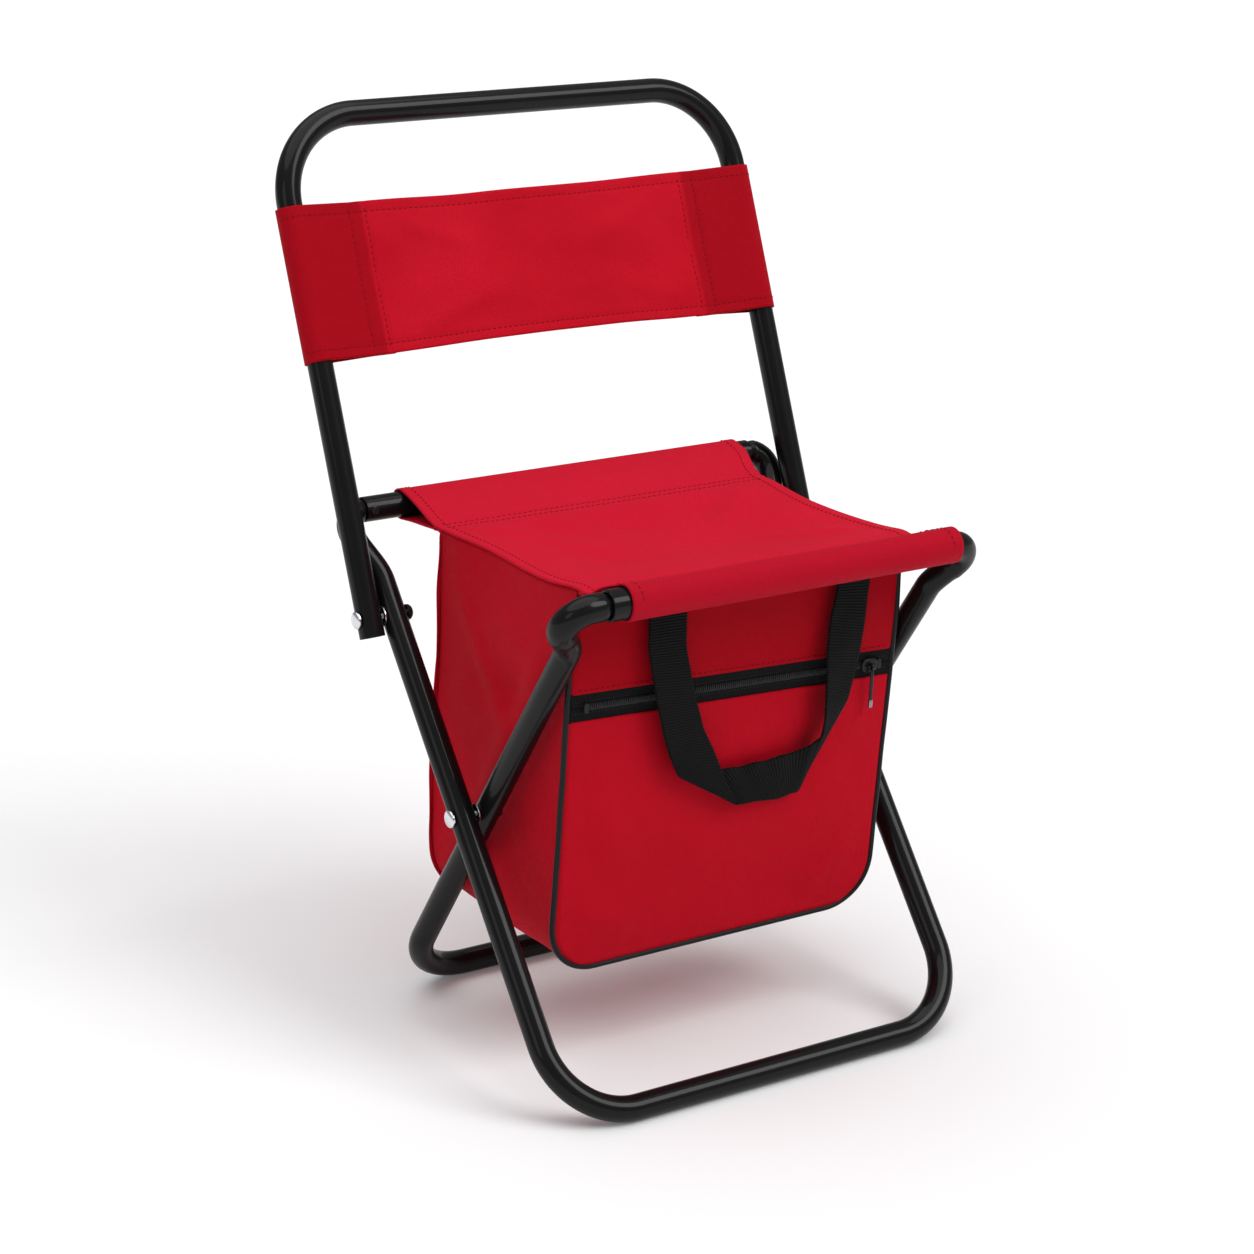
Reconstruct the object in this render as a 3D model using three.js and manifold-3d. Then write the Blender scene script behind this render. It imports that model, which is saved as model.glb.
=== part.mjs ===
// Folding stool with a cooler bag sewn under its seat and a cloth band as its backrest.
// Millimetres, +Z up. Whoever sits on it faces -Y. The origin is on the floor, in the middle of the outline.
// Until the last group shifts it, everything is placed from the front floor bar's axis, which lies at y = 0.

import * as THREE from "three";
import { mergeVertices } from "three/addons/utils/BufferGeometryUtils.js";
import Module from "manifold-3d";

const wasm = await Module();
wasm.setup();

// Driving dimensions

const clearance = 0.3; // between pieces that touch on the real stool
const overrun = 5; // how far a cutter reaches past what it cuts
const floorSpread = 225.8; // between the axes of the two floor bars
const sideGap = 1.4; // between neighbouring tubes at a pivot

const tube = { radius: 8, wall: 1 };
const rearRail = { radius: 8, wall: 1 };
const frontRail = { radius: 9.5, wall: 1.8 };

const frontFrame = {
  leanDegrees: 40.2, // backwards from upright
  halfWidth: 149.5,
  legLength: 403.8, // from the floor bar's axis to the seat rail's
  bendRadius: 50,
  flare: 10, // the legs widen by this under the rail, and so stop the backrest
  flareLength: 36,
  straightAfterFlare: 0.5,
  elbowRadius: 12.5,
  collar: 0, // straight tube between the elbow and the rail's rim
};

const rearFrame = {
  leanDegrees: -33.07, // forwards from upright
  legLength: 373.7,
  bendRadius: 46,
  flare: 12.9,
  flareLength: 40,
  straightAfterFlare: 13.7,
  elbowRadius: 15,
  collar: 9.4,
};

const legInsert = 25; // length of leg inside each seat rail
const swageLength = 5; // stretch of elbow over which a leg end narrows to enter its rail

const backrest = {
  leanDegrees: 23.87,
  pivotUnderRail: 71.2, // along the front legs, down from the rear rail's axis
  height: 313.4, // from the pivot to the top bar's axis
  bendRadius: 55,
  tail: 9.5, // tube below the pivot
};

const rivet = {
  shankRadius: 2.6,
  headRadius: 5.5,
  headHeight: 2.6,
  tailRadius: 4.4,
  tailHeight: 1.2,
  washerRadius: 6.5,
};
const backrestNut = { radius: 5, height: 4.5, wall: 1.5 };
const railRivet = { shankRadius: 1.7, headRadius: 2.8, headHeight: 1, fromRim: 5, grip: 4 };
const railRivetDegrees = { front: 11, rear: 169 }; // which way each rail's rivets face, up from +Y

const clothThickness = 1.6;

const band = {
  underTopBar: 56.4, // from the top bar's axis down to the cloth
  height: 97,
  frontOffset: 3, // the single layer lies this far before the tubes' plane
  seamFromTube: 38, // each sleeve closes this far inside its tube's axis
  bow: 3, // the middle bows forwards
};

const seat = {
  rearStitchFromRail: 50.2,
  rearStitchDrop: 0.4, // below the rear rail's axis
  waistFromRail: 112,
  frontCornerFromRail: 61.5,
  frontStitchFromRail: 24,
  rearSleeveInsetLeft: 27, // from the rear rail's rims to the cloth
  rearSleeveInsetRight: 11,
  rearCornerInset: 8.6, // the corners and the waist are narrower than the rear legs' axes by their insets
  waistInset: 14.1,
  frontCornerInset: 11.1,
  frontSleeveInsetLeft: 12.6,
  frontSleeveOverhangRight: 8.4, // on the right the sleeve reaches past the front rail's rim
  sag: 3,
};
const sleeveTipShare = 0.13; // where a sleeve's hollow starts, between its seam and its tube
const frontSleeveTipShare = 0.25;

const bag = {
  height: 236.2, // from its bottom to the panels' straight tops
  cornerRadius: 30,
  wall: 3,
  frontFromRail: 46.8, // from the front rail's axis back to the front panel's face, at its bottom
  backFromRail: 53.4, // from the rear rail's axis forwards to the back panel's inner face
  topMargin: 4.5, // the panels are cut straight this far under the seat, then follow it
  frontSeamGap: 3, // the front rail passes over the front panel's top edge as the stool folds
};
const panelSlopeShare = 0.06; // the front panel comes forwards by this share of its height
const pipingRadius = 1.8;
const linerWall = 5;
const linerTopGap = 8;

const zip = {
  aboveBottom: 169.5, // its middle, at the middle of the panel
  dropDegrees: 2.3, // it falls towards the right
  height: 17.5,
  tapeThickness: 0.8,
  tapeDepth: 0.4, // behind the panel's face
  coilHeight: 5,
  coilThickness: 1.6,
  coilProud: 0.6, // before the panel's face
  endInset: 8,
  stopLength: 3,
  stopThickness: 1.2,
  stopOverhang: 0.8,
};
const slider = { length: 12, height: 9, thickness: 1.5, bridgeSpan: 4.4, bridgeWire: 1.3, bridgeRise: 3.2 };
const pull = { length: 27, width: 3, thickness: 1.2, eyeRadius: 2.2, holeRadius: 1.2, tipHeight: 5 };

const strap = {
  width: 25,
  thickness: 1.4,
  fromPanel: 8.2,
  foldUnderSeat: 13.5, // from the seat cloth down to the line where the strap leaves its sewn ends
  drop: 137, // how far it hangs down from that line
  endHeight: 9,
};
// The strap's middle line from left to right, as shares of the panel's half width and of the strap's drop,
// and its visible width, as shares of the webbing's: it twists where it turns up on the right.
const strapAcrossShares = [-0.52, -0.45, -0.34, -0.2, 0, 0.2, 0.4, 0.52, 0.59, 0.62, 0.65];
const strapDownShares = [0, 0.36, 0.62, 0.86, 0.97, 1, 0.97, 0.86, 0.68, 0.42, 0];
const strapWidthShares = [1, 1.02, 1, 1, 1, 1.1, 1.05, 0.55, 0.75, 1, 0.9];

const steps = {
  tubeSides: 16,
  boreSides: 8,
  bend: 8,
  elbow: 6,
  flare: 5,
  turned: 12,
  sleeve: 9,
  seat: 9,
  panel: 8,
  corner: 6,
  side: 6,
  strap: 26,
  pipingSides: 8,
};

// Values worked out from the driving dimensions

const rearHalfWidth = frontFrame.halfWidth - 2 * tube.radius - sideGap;
const backrestHalfWidth = frontFrame.halfWidth + 2 * tube.radius + sideGap;
const washerThickness = sideGap - 2 * clearance;
const across = new THREE.Vector3(1, 0, 0);
const radians = THREE.MathUtils.degToRad;
const { lerp, smoothstep } = THREE.MathUtils;

// The direction in the YZ plane that leans backwards from upright by an angle.
function leaning(leanDegrees) {
  return new THREE.Vector3(0, Math.sin(radians(leanDegrees)), Math.cos(radians(leanDegrees)));
}

const frontUp = leaning(frontFrame.leanDegrees);
const rearUp = leaning(rearFrame.leanDegrees);
const backrestUp = leaning(backrest.leanDegrees);
const frontFoot = new THREE.Vector3(0, 0, tube.radius);
const rearFoot = new THREE.Vector3(0, floorSpread, tube.radius);
const rearRailAxis = frontFoot.clone().addScaledVector(frontUp, frontFrame.legLength);
const frontRailAxis = rearFoot.clone().addScaledVector(rearUp, rearFrame.legLength);
const crossingAlongLeg = floorSpread / (frontUp.y - (rearUp.y * frontUp.z) / rearUp.z);
const crossing = frontFoot.clone().addScaledVector(frontUp, crossingAlongLeg);
const pivotAlongLeg = frontFrame.legLength - backrest.pivotUnderRail;
const backrestPivot = frontFoot.clone().addScaledVector(frontUp, pivotAlongLeg);
const backrestTop = backrestPivot.clone().addScaledVector(backrestUp, backrest.height);
const outlineMiddle = backrestTop.y / 2; // the front floor bar and the top bar are tubes of one radius

// Finishes

const blackPaint = { color: 0x141416, roughness: 0.35, metalness: 0.6 };
const chrome = { color: 0xcfd2d6, roughness: 0.15, metalness: 1 };
const blackMetal = { color: 0x1a1a1c, roughness: 0.4, metalness: 0.8 };
const redCloth = { color: 0xc4162e, roughness: 0.85, metalness: 0 };
const blackCloth = { color: 0x17171a, roughness: 0.9, metalness: 0 };
const foil = { color: 0xb9bdc2, roughness: 0.3, metalness: 0.7 };

// Solids, cuts and meshes

function toSolid(geometry) {
  const bare = new THREE.BufferGeometry();
  bare.setAttribute("position", geometry.getAttribute("position"));
  bare.setIndex(geometry.getIndex());
  const merged = mergeVertices(bare, clearance / 1000);
  const vertProperties = merged.getAttribute("position").array;
  return new wasm.Manifold(new wasm.Mesh({ numProp: 3, vertProperties, triVerts: merged.index.array }));
}

function toGeometry(solid) {
  const mesh = solid.getMesh();
  const geometry = new THREE.BufferGeometry();
  geometry.setAttribute("position", new THREE.BufferAttribute(mesh.vertProperties, 3));
  geometry.setIndex(new THREE.BufferAttribute(mesh.triVerts, 1));
  return geometry;
}

function cut(geometry, cutters) {
  return toGeometry(cutters.reduce((solid, cutter) => solid.subtract(toSolid(cutter)), toSolid(geometry)));
}

function join(geometries) {
  return toGeometry(geometries.map(toSolid).reduce((solid, other) => solid.add(other)));
}

// Moves each vertex of a geometry by a rule, which changes the vector that it is given.
function reshape(geometry, rule) {
  const positions = geometry.getAttribute("position");
  const vertex = new THREE.Vector3();
  for (let i = 0; i < positions.count; i++) {
    rule(vertex.fromBufferAttribute(positions, i));
    positions.setXYZ(i, vertex.x, vertex.y, vertex.z);
  }
  return geometry;
}

function makeMesh(name, geometry, finish) {
  geometry.computeVertexNormals();
  const mesh = new THREE.Mesh(geometry, new THREE.MeshStandardMaterial(finish));
  mesh.name = name;
  return mesh;
}

// One mesh for each side of the stool, from a builder that takes the side as -1 or 1.
function makePair(name, builder, finish) {
  return [-1, 1].map((side) => makeMesh(name + (side < 0 ? "_left" : "_right"), builder(side), finish));
}

// Sections and outlines

// A regular polygon round a circle, with a flat facing the angle turned to.
function polygonRound(radius, sides, turned) {
  const reach = radius / Math.cos(Math.PI / sides);
  return Array.from({ length: sides }, (_, i) => {
    const angle = turned + ((i + 0.5) * 2 * Math.PI) / sides;
    return new THREE.Vector2(reach * Math.cos(angle), reach * Math.sin(angle));
  });
}

function pipeSection(radius, boreRadius, boreSides, turned) {
  const shape = new THREE.Shape(polygonRound(radius, steps.tubeSides, turned));
  shape.holes.push(new THREE.Path(polygonRound(boreRadius, boreSides, turned)));
  return shape;
}

// Where cloth drawn from one point round the far side of a circle to another point touches the circle.
function loopRound(centre, radius, from, to) {
  const tangent = (point) => {
    const toPoint = point.clone().sub(centre);
    return { angle: toPoint.angle(), spread: Math.acos(radius / toPoint.length()) };
  };
  const start = tangent(from).angle + tangent(from).spread;
  const end = tangent(to).angle - tangent(to).spread;
  const turn = THREE.MathUtils.euclideanModulo(end - start, 2 * Math.PI);
  return Array.from({ length: steps.sleeve + 1 }, (_, i) => {
    const angle = start + (turn * i) / steps.sleeve;
    return new THREE.Vector2(centre.x + radius * Math.cos(angle), centre.y + radius * Math.sin(angle));
  });
}

// The inside of a sleeve: round its tube, and closing to a tip near its seam.
function sleeveHole(centre, radius, seam, tipShare) {
  const tip = seam.clone().lerp(centre, tipShare);
  return new THREE.Path([tip, ...loopRound(centre, radius, tip, tip)]);
}

// The radius that keeps a sleeve clear of the corners of its faceted tube.
function sleeveRadius(tubeRadius) {
  const facet = Math.cos(Math.PI / steps.tubeSides);
  return (tubeRadius / facet + clearance) / facet;
}

// Bent tubes

// A flat path through exact stations, so that straight runs take one step and bends take many.
class PlanarPath extends THREE.Curve {
  constructor(stations, normal) {
    super();
    this.stations = stations;
    this.normal = normal;
  }

  getSpacedPoints() {
    return this.stations.map((station) => station.point.clone());
  }

  computeFrenetFrames() {
    const tangents = this.stations.map((station) => station.tangent.clone());
    const normals = tangents.map(() => this.normal.clone());
    const binormals = tangents.map((tangent) => tangent.clone().cross(this.normal));
    return { tangents, normals, binormals };
  }
}

// Stations of a quarter bend in a frame's own plane, x across and y along its legs, turning left as it runs.
function quarterBend(centreX, centreY, radius, startAngle, count) {
  return Array.from({ length: count + 1 }, (_, i) => {
    const angle = startAngle + (i * Math.PI) / (2 * count);
    const spoke = new THREE.Vector2(Math.cos(angle), Math.sin(angle));
    return {
      at: new THREE.Vector2(centreX + radius * spoke.x, centreY + radius * spoke.y),
      heading: new THREE.Vector2(-spoke.y, spoke.x),
    };
  });
}

// Half the distance between the elbows of a leg frame, and half the length of its rail.
const elbowHalf = (frame, halfWidth) => halfWidth + frame.flare - frame.elbowRadius;
const railHalf = (frame, halfWidth) => elbowHalf(frame, halfWidth) - frame.collar;

// The right half of a leg frame: the floor bar's bend, the flare, the elbow and the end inside the rail.
function legStations(frame, halfWidth) {
  const cornerAt = halfWidth - frame.bendRadius;
  const elbowStart = frame.legLength - frame.elbowRadius;
  const flareStart = elbowStart - frame.straightAfterFlare - frame.flareLength;
  const flareStations = Array.from({ length: steps.flare + 1 }, (_, i) => {
    const share = i / steps.flare;
    const spread = frame.flare * smoothstep(share, 0, 1);
    const slope = (frame.flare * 6 * share * (1 - share)) / frame.flareLength;
    return {
      at: new THREE.Vector2(halfWidth + spread, flareStart + frame.flareLength * share),
      heading: new THREE.Vector2(slope, 1).normalize(),
    };
  });
  const end = {
    at: new THREE.Vector2(railHalf(frame, halfWidth) - legInsert, frame.legLength),
    heading: new THREE.Vector2(-1, 0),
  };
  return [
    ...quarterBend(cornerAt, frame.bendRadius, frame.bendRadius, -Math.PI / 2, steps.bend),
    ...flareStations,
    ...quarterBend(elbowHalf(frame, halfWidth), elbowStart, frame.elbowRadius, 0, steps.elbow),
    end,
  ];
}

// A symmetrical path in space from its right half, which runs away from the middle.
function wholePath(rightHalf, origin, up) {
  const leftHalf = rightHalf.map(({ at, heading }) => ({
    at: new THREE.Vector2(-at.x, at.y),
    heading: new THREE.Vector2(heading.x, -heading.y),
  }));
  const place = (flat) => across.clone().multiplyScalar(flat.x).addScaledVector(up, flat.y);
  const stations = [...leftHalf.reverse(), ...rightHalf].map(({ at, heading }) => ({
    point: place(at).add(origin),
    tangent: place(heading),
  }));
  return new PlanarPath(stations, across.clone().cross(up).normalize());
}

function alongPath(section, path) {
  const options = { steps: path.stations.length - 1, bevelEnabled: false, extrudePath: path };
  return new THREE.ExtrudeGeometry(section, options);
}

// A tube bent along a path, with one flat of its section facing the floor where it runs across.
function bentTube(path, leanDegrees) {
  const boreRadius = (tube.radius - tube.wall) * Math.cos(Math.PI / (2 * steps.boreSides));
  const section = pipeSection(tube.radius, boreRadius, steps.boreSides, radians(90 + leanDegrees));
  return alongPath(section, path);
}

// Narrows the ends of a leg frame to pass into its rail's bore.
function swageEnds(geometry, frame, halfWidth, rail, railAxis) {
  const narrow = (rail.radius - rail.wall - clearance) * Math.cos(Math.PI / steps.tubeSides);
  const elbow = elbowHalf(frame, halfWidth);
  return reshape(geometry, (vertex) => {
    const offset = new THREE.Vector2(vertex.y - railAxis.y, vertex.z - railAxis.z);
    if (offset.length() > 2 * tube.radius) return;
    const share = smoothstep(elbow + swageLength - Math.abs(vertex.x), 0, swageLength);
    offset.multiplyScalar(lerp(1, narrow / tube.radius, share));
    vertex.set(vertex.x, railAxis.y + offset.x, railAxis.z + offset.y);
  });
}

// A solid of revolution about a line along X, from a profile of [radius, place along the line] pairs.
function turnedAlongX(profile) {
  const points = profile.map(([radius, along]) => new THREE.Vector2(radius, along));
  return new THREE.LatheGeometry(points, steps.turned).rotateZ(-Math.PI / 2);
}

function roundBar(radius, from, to) {
  return turnedAlongX([[0, from], [radius, from], [radius, to], [0, to]]);
}

// Holes for a pivot's shank through the tubes on both sides.
function pivotHoles(pivot, halfWidth) {
  const reach = tube.radius + overrun;
  return [-1, 1].map((side) => {
    const middle = side * halfWidth;
    const hole = roundBar(rivet.shankRadius + clearance, middle - reach, middle + reach);
    return hole.translate(0, pivot.y, pivot.z);
  });
}

// A rail rivet's place: its local Y axis points out of the rail, the way the rivet faces.
function placeRailRivet(geometry, side, railAxis, x, faceDegrees) {
  return geometry.rotateX(radians(faceDegrees)).translate(side * x, railAxis.y, railAxis.z);
}

function railRivetHoles(rail, railAxis, x, faceDegrees) {
  return [-1, 1].map((side) => {
    const length = rail.radius + overrun;
    const hole = new THREE.CylinderGeometry(
      railRivet.shankRadius + clearance,
      railRivet.shankRadius + clearance,
      length,
      steps.turned,
    ).translate(0, length / 2, 0);
    return placeRailRivet(hole, side, railAxis, x, faceDegrees);
  });
}

function railRivetMeshes(name, rail, railAxis, x, faceDegrees) {
  const seatRadius = rail.radius + clearance;
  const profile = [
    [0, rail.radius - railRivet.grip],
    [railRivet.shankRadius, rail.radius - railRivet.grip],
    [railRivet.shankRadius, seatRadius],
    [railRivet.headRadius, seatRadius],
    [railRivet.headRadius * Math.SQRT1_2, seatRadius + railRivet.headHeight],
    [0, seatRadius + railRivet.headHeight],
  ].map(([radius, along]) => new THREE.Vector2(radius, along));
  const builder = (side) =>
    placeRailRivet(new THREE.LatheGeometry(profile, steps.turned), side, railAxis, x, faceDegrees);
  return makePair(name, builder, blackMetal);
}

function legFrame(frame, halfWidth, foot, up, rail, railAxis, pivots, rivetDegrees) {
  const path = wholePath(legStations(frame, halfWidth), foot, up);
  const bent = swageEnds(bentTube(path, frame.leanDegrees), frame, halfWidth, rail, railAxis);
  const rivetX = railHalf(frame, halfWidth) - railRivet.fromRim;
  const holes = pivots.flatMap((pivot) => pivotHoles(pivot, halfWidth));
  return cut(bent, [...holes, ...railRivetHoles(rail, railAxis, rivetX, rivetDegrees)]);
}

function seatRail(frame, halfWidth, rail, railAxis, rivetDegrees) {
  const half = railHalf(frame, halfWidth);
  const bar = new THREE.ExtrudeGeometry(
    pipeSection(rail.radius, rail.radius - rail.wall, steps.tubeSides, 0),
    { depth: 2 * half, steps: 1, bevelEnabled: false },
  );
  bar.translate(0, 0, -half).rotateY(Math.PI / 2).translate(0, railAxis.y, railAxis.z);
  return cut(bar, railRivetHoles(rail, railAxis, half - railRivet.fromRim, rivetDegrees));
}

function backrestTube() {
  const bendStart = backrest.height - backrest.bendRadius;
  const bendX = backrestHalfWidth - backrest.bendRadius;
  const lowerEnd = {
    at: new THREE.Vector2(backrestHalfWidth, -backrest.tail),
    heading: new THREE.Vector2(0, 1),
  };
  const upwards = [lowerEnd, ...quarterBend(bendX, bendStart, backrest.bendRadius, 0, steps.bend)];
  const fromMiddle = upwards.reverse().map(({ at, heading }) => ({ at, heading: heading.negate() }));
  const path = wholePath(fromMiddle, backrestPivot, backrestUp);
  return cut(bentTube(path, backrest.leanDegrees), pivotHoles(backrestPivot, backrestHalfWidth));
}

// Rivets and washers at the pivots

function domeProfile(seatAt, radius, height) {
  const spread = [0.25, 0.5, 0.75].map((share) => (share * Math.PI) / 2);
  return [
    [radius, seatAt],
    ...spread.map((angle) => [radius * Math.cos(angle), seatAt + height * Math.sin(angle)]),
    [0, seatAt + height],
  ];
}

// A rivet from the inner face of one tube to the outer face of another, domed outside and flat-headed inside.
function pivotRivet(side, pivot, innerX, outerX) {
  const tailAt = innerX - clearance;
  const profile = [
    [0, tailAt - rivet.tailHeight],
    [rivet.tailRadius * Math.SQRT1_2, tailAt - rivet.tailHeight],
    [rivet.tailRadius, tailAt],
    [rivet.shankRadius, tailAt],
    [rivet.shankRadius, outerX + clearance],
    ...domeProfile(outerX + clearance, rivet.headRadius, rivet.headHeight),
  ];
  return turnedAlongX(profile).rotateZ(side < 0 ? Math.PI : 0).translate(0, pivot.y, pivot.z);
}

// A bolt whose shank ends inside a domed nut.
function pivotBolt(side, pivot, innerX, outerX) {
  const profile = [
    [0, innerX - clearance - backrestNut.height + backrestNut.wall + clearance],
    [rivet.shankRadius, innerX - clearance - backrestNut.height + backrestNut.wall + clearance],
    [rivet.shankRadius, outerX + clearance],
    ...domeProfile(outerX + clearance, rivet.headRadius, rivet.headHeight),
  ];
  return turnedAlongX(profile).rotateZ(side < 0 ? Math.PI : 0).translate(0, pivot.y, pivot.z);
}

function domedNut(side, pivot, innerX) {
  const seatAt = innerX - clearance;
  const holeRadius = rivet.shankRadius + clearance;
  const dome = domeProfile(0, backrestNut.radius, backrestNut.height).reverse();
  const profile = [
    ...dome.map(([radius, along]) => [radius, seatAt - along]),
    [holeRadius, seatAt],
    [holeRadius, seatAt - backrestNut.height + backrestNut.wall],
    [0, seatAt - backrestNut.height + backrestNut.wall],
  ];
  return turnedAlongX(profile).rotateZ(side < 0 ? Math.PI : 0).translate(0, pivot.y, pivot.z);
}

function pivotWasher(side, pivot, innerX) {
  const from = innerX + clearance;
  const holeRadius = rivet.shankRadius + clearance;
  const profile = [
    [holeRadius, from],
    [rivet.washerRadius, from],
    [rivet.washerRadius, from + washerThickness],
    [holeRadius, from + washerThickness],
    [holeRadius, from],
  ];
  return turnedAlongX(profile).rotateZ(side < 0 ? Math.PI : 0).translate(0, pivot.y, pivot.z);
}

// The backrest's cloth band

// Seen along the tubes: one layer before their plane, and a drop-shaped sleeve round each tube.
function backrestBand() {
  const seamX = backrestHalfWidth - band.seamFromTube;
  const inner = sleeveRadius(tube.radius);
  const outer = inner + clothThickness;
  const layer = (share, side) => {
    const x = seamX * (2 * share - 1);
    const bow = band.bow * (1 - (x / seamX) ** 2);
    return new THREE.Vector2(x, -band.frontOffset - bow + (side * clothThickness) / 2);
  };
  const shares = Array.from({ length: steps.panel + 1 }, (_, i) => i / steps.panel);
  const front = shares.map((share) => layer(share, -1));
  const back = shares.map((share) => layer(share, 1)).reverse();
  const rightTube = new THREE.Vector2(backrestHalfWidth, 0);
  const leftTube = new THREE.Vector2(-backrestHalfWidth, 0);
  const shape = new THREE.Shape([
    ...front,
    ...loopRound(rightTube, outer, front.at(-1), back[0]),
    ...back,
    ...loopRound(leftTube, outer, back.at(-1), front[0]),
  ]);
  for (const [tubeAxis, x] of [[leftTube, -seamX], [rightTube, seamX]]) {
    const seam = new THREE.Vector2(x, -band.frontOffset);
    shape.holes.push(sleeveHole(tubeAxis, inner, seam, sleeveTipShare));
  }
  const geometry = new THREE.ExtrudeGeometry(shape, { depth: band.height, steps: 1, bevelEnabled: false });
  const placed = new THREE.Matrix4().makeBasis(across, backrestUp.clone().cross(across), backrestUp);
  const bandBottom = backrest.height - band.underTopBar - band.height;
  placed.setPosition(backrestPivot.clone().addScaledVector(backrestUp, bandBottom));
  return geometry.applyMatrix4(placed);
}

// The seat cloth

const seatLevel = rearRailAxis.z - seat.rearStitchDrop;
const waistHalf = rearHalfWidth - seat.waistInset;
const frontCornerHalf = rearHalfWidth - seat.frontCornerInset;
const rearCornerHalf = rearHalfWidth - seat.rearCornerInset;
const frontRailHalf = railHalf(rearFrame, rearHalfWidth);
const rearRailHalf = railHalf(frontFrame, frontFrame.halfWidth);
const waistY = rearRailAxis.y - seat.waistFromRail;
const rearStitchY = rearRailAxis.y - seat.rearStitchFromRail;
const frontStitchY = frontRailAxis.y + seat.frontStitchFromRail;
const frontTop = frontRailAxis.z + sleeveRadius(frontRail.radius) + clothThickness / 2;

// Height of the cloth's middle layer over the floor: level behind the waist, then rising to the front rail.
function seatHeight(y) {
  const share = Math.max(0, (waistY - y) / (waistY - frontRailAxis.y));
  return seatLevel + (frontTop - seatLevel) * share ** 2;
}

// How far the cloth hangs down between its two side edges.
function seatSag(x, y) {
  const along = THREE.MathUtils.clamp((y - frontStitchY) / (rearStitchY - frontStitchY), 0, 1);
  return seat.sag * Math.max(0, 1 - (x / waistHalf) ** 2) * Math.sin(Math.PI * along);
}

const underSeat = (x, y) => seatHeight(y) - seatSag(x, y) - clothThickness / 2;

// The cloth's two side edges, from the front sleeve to the rear one.
function seatEdges(y) {
  const places = [
    [
      frontRailAxis.y + frontRail.radius,
      frontRailHalf - seat.frontSleeveInsetLeft,
      frontRailHalf + seat.frontSleeveOverhangRight,
    ],
    [frontRailAxis.y + seat.frontCornerFromRail, frontCornerHalf, frontCornerHalf],
    [waistY, waistHalf, waistHalf],
    [rearStitchY, rearCornerHalf, rearCornerHalf],
    [
      rearRailAxis.y - rearRail.radius,
      rearRailHalf - seat.rearSleeveInsetLeft,
      rearRailHalf - seat.rearSleeveInsetRight,
    ],
  ];
  let [, left, right] = places[0];
  for (const [i, [startY, startLeft, startRight]] of places.slice(0, -1).entries()) {
    if (y < startY) continue;
    const [endY, endLeft, endRight] = places[i + 1];
    const share = smoothstep(y, startY, endY);
    left = lerp(startLeft, endLeft, share);
    right = lerp(startRight, endRight, share);
  }
  return [-left, right];
}

function seatSling() {
  const frontAxis = new THREE.Vector2(frontRailAxis.y, frontRailAxis.z);
  const rearAxis = new THREE.Vector2(rearRailAxis.y, rearRailAxis.z);
  const shares = Array.from({ length: steps.panel + 1 }, (_, i) => i / steps.panel);
  const layer = (side) =>
    shares.map((share) => {
      const y = lerp(frontStitchY, rearStitchY, share);
      return new THREE.Vector2(y, seatHeight(y) + (side * clothThickness) / 2);
    });
  const lower = layer(-1);
  const upper = layer(1).reverse();
  const frontInner = sleeveRadius(frontRail.radius);
  const rearInner = sleeveRadius(rearRail.radius);
  const shape = new THREE.Shape([
    ...lower,
    ...loopRound(rearAxis, rearInner + clothThickness, lower.at(-1), upper[0]),
    ...upper,
    ...loopRound(frontAxis, frontInner + clothThickness, upper.at(-1), lower[0]),
  ]);
  const frontSeam = new THREE.Vector2(frontStitchY, seatHeight(frontStitchY) - clothThickness / 2);
  const rearSeam = new THREE.Vector2(rearStitchY, seatLevel);
  shape.holes.push(sleeveHole(frontAxis, frontInner, frontSeam, frontSleeveTipShare));
  shape.holes.push(sleeveHole(rearAxis, rearInner, rearSeam, sleeveTipShare));
  const geometry = new THREE.ExtrudeGeometry(shape, { depth: 1, steps: steps.seat, bevelEnabled: false });
  return reshape(geometry, (vertex) => {
    const [left, right] = seatEdges(vertex.x);
    const x = lerp(left, right, vertex.z);
    vertex.set(x, vertex.x, vertex.y - seatSag(x, vertex.x));
  });
}

// The bag under the seat

// The front panel's half width: inside the rear legs, the rivets' tails and the piping.
const tailFace = rearHalfWidth - tube.radius - clearance - rivet.tailHeight;
const bagHalf = tailFace - clearance - 2 * pipingRadius - clearance;
const pipingOffset = clearance + pipingRadius;
const flatTop = seatLevel - clothThickness / 2 - seat.sag - bag.topMargin;
const frontFace = frontRailAxis.y + bag.frontFromRail;
const backFace = rearRailAxis.y - bag.backFromRail;
const bagBottom = flatTop - bag.height;
const panelFace = (z) => frontFace - panelSlopeShare * (z - bagBottom);
const zipSlope = Math.tan(radians(zip.dropDegrees));
const zipLine = (x) => bagBottom + zip.aboveBottom - zipSlope * x;

// The bag's outline from the top left round the bottom to the top right, grown outwards by an offset.
function bagOutline(grow, top) {
  const half = bagHalf + grow;
  const radius = bag.cornerRadius + grow;
  const bottom = bagBottom - grow;
  const corner = (side) =>
    Array.from({ length: steps.corner + 1 }, (_, i) => {
      const angle = (Math.PI / 2) * (i / steps.corner);
      const turn = side < 0 ? angle : Math.PI / 2 - angle;
      const x = half - radius + radius * Math.cos(turn);
      return new THREE.Vector2(side * x, bottom + radius - radius * Math.sin(turn));
    });
  return [new THREE.Vector2(-half, top), ...corner(-1), ...corner(1), new THREE.Vector2(half, top)];
}

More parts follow.
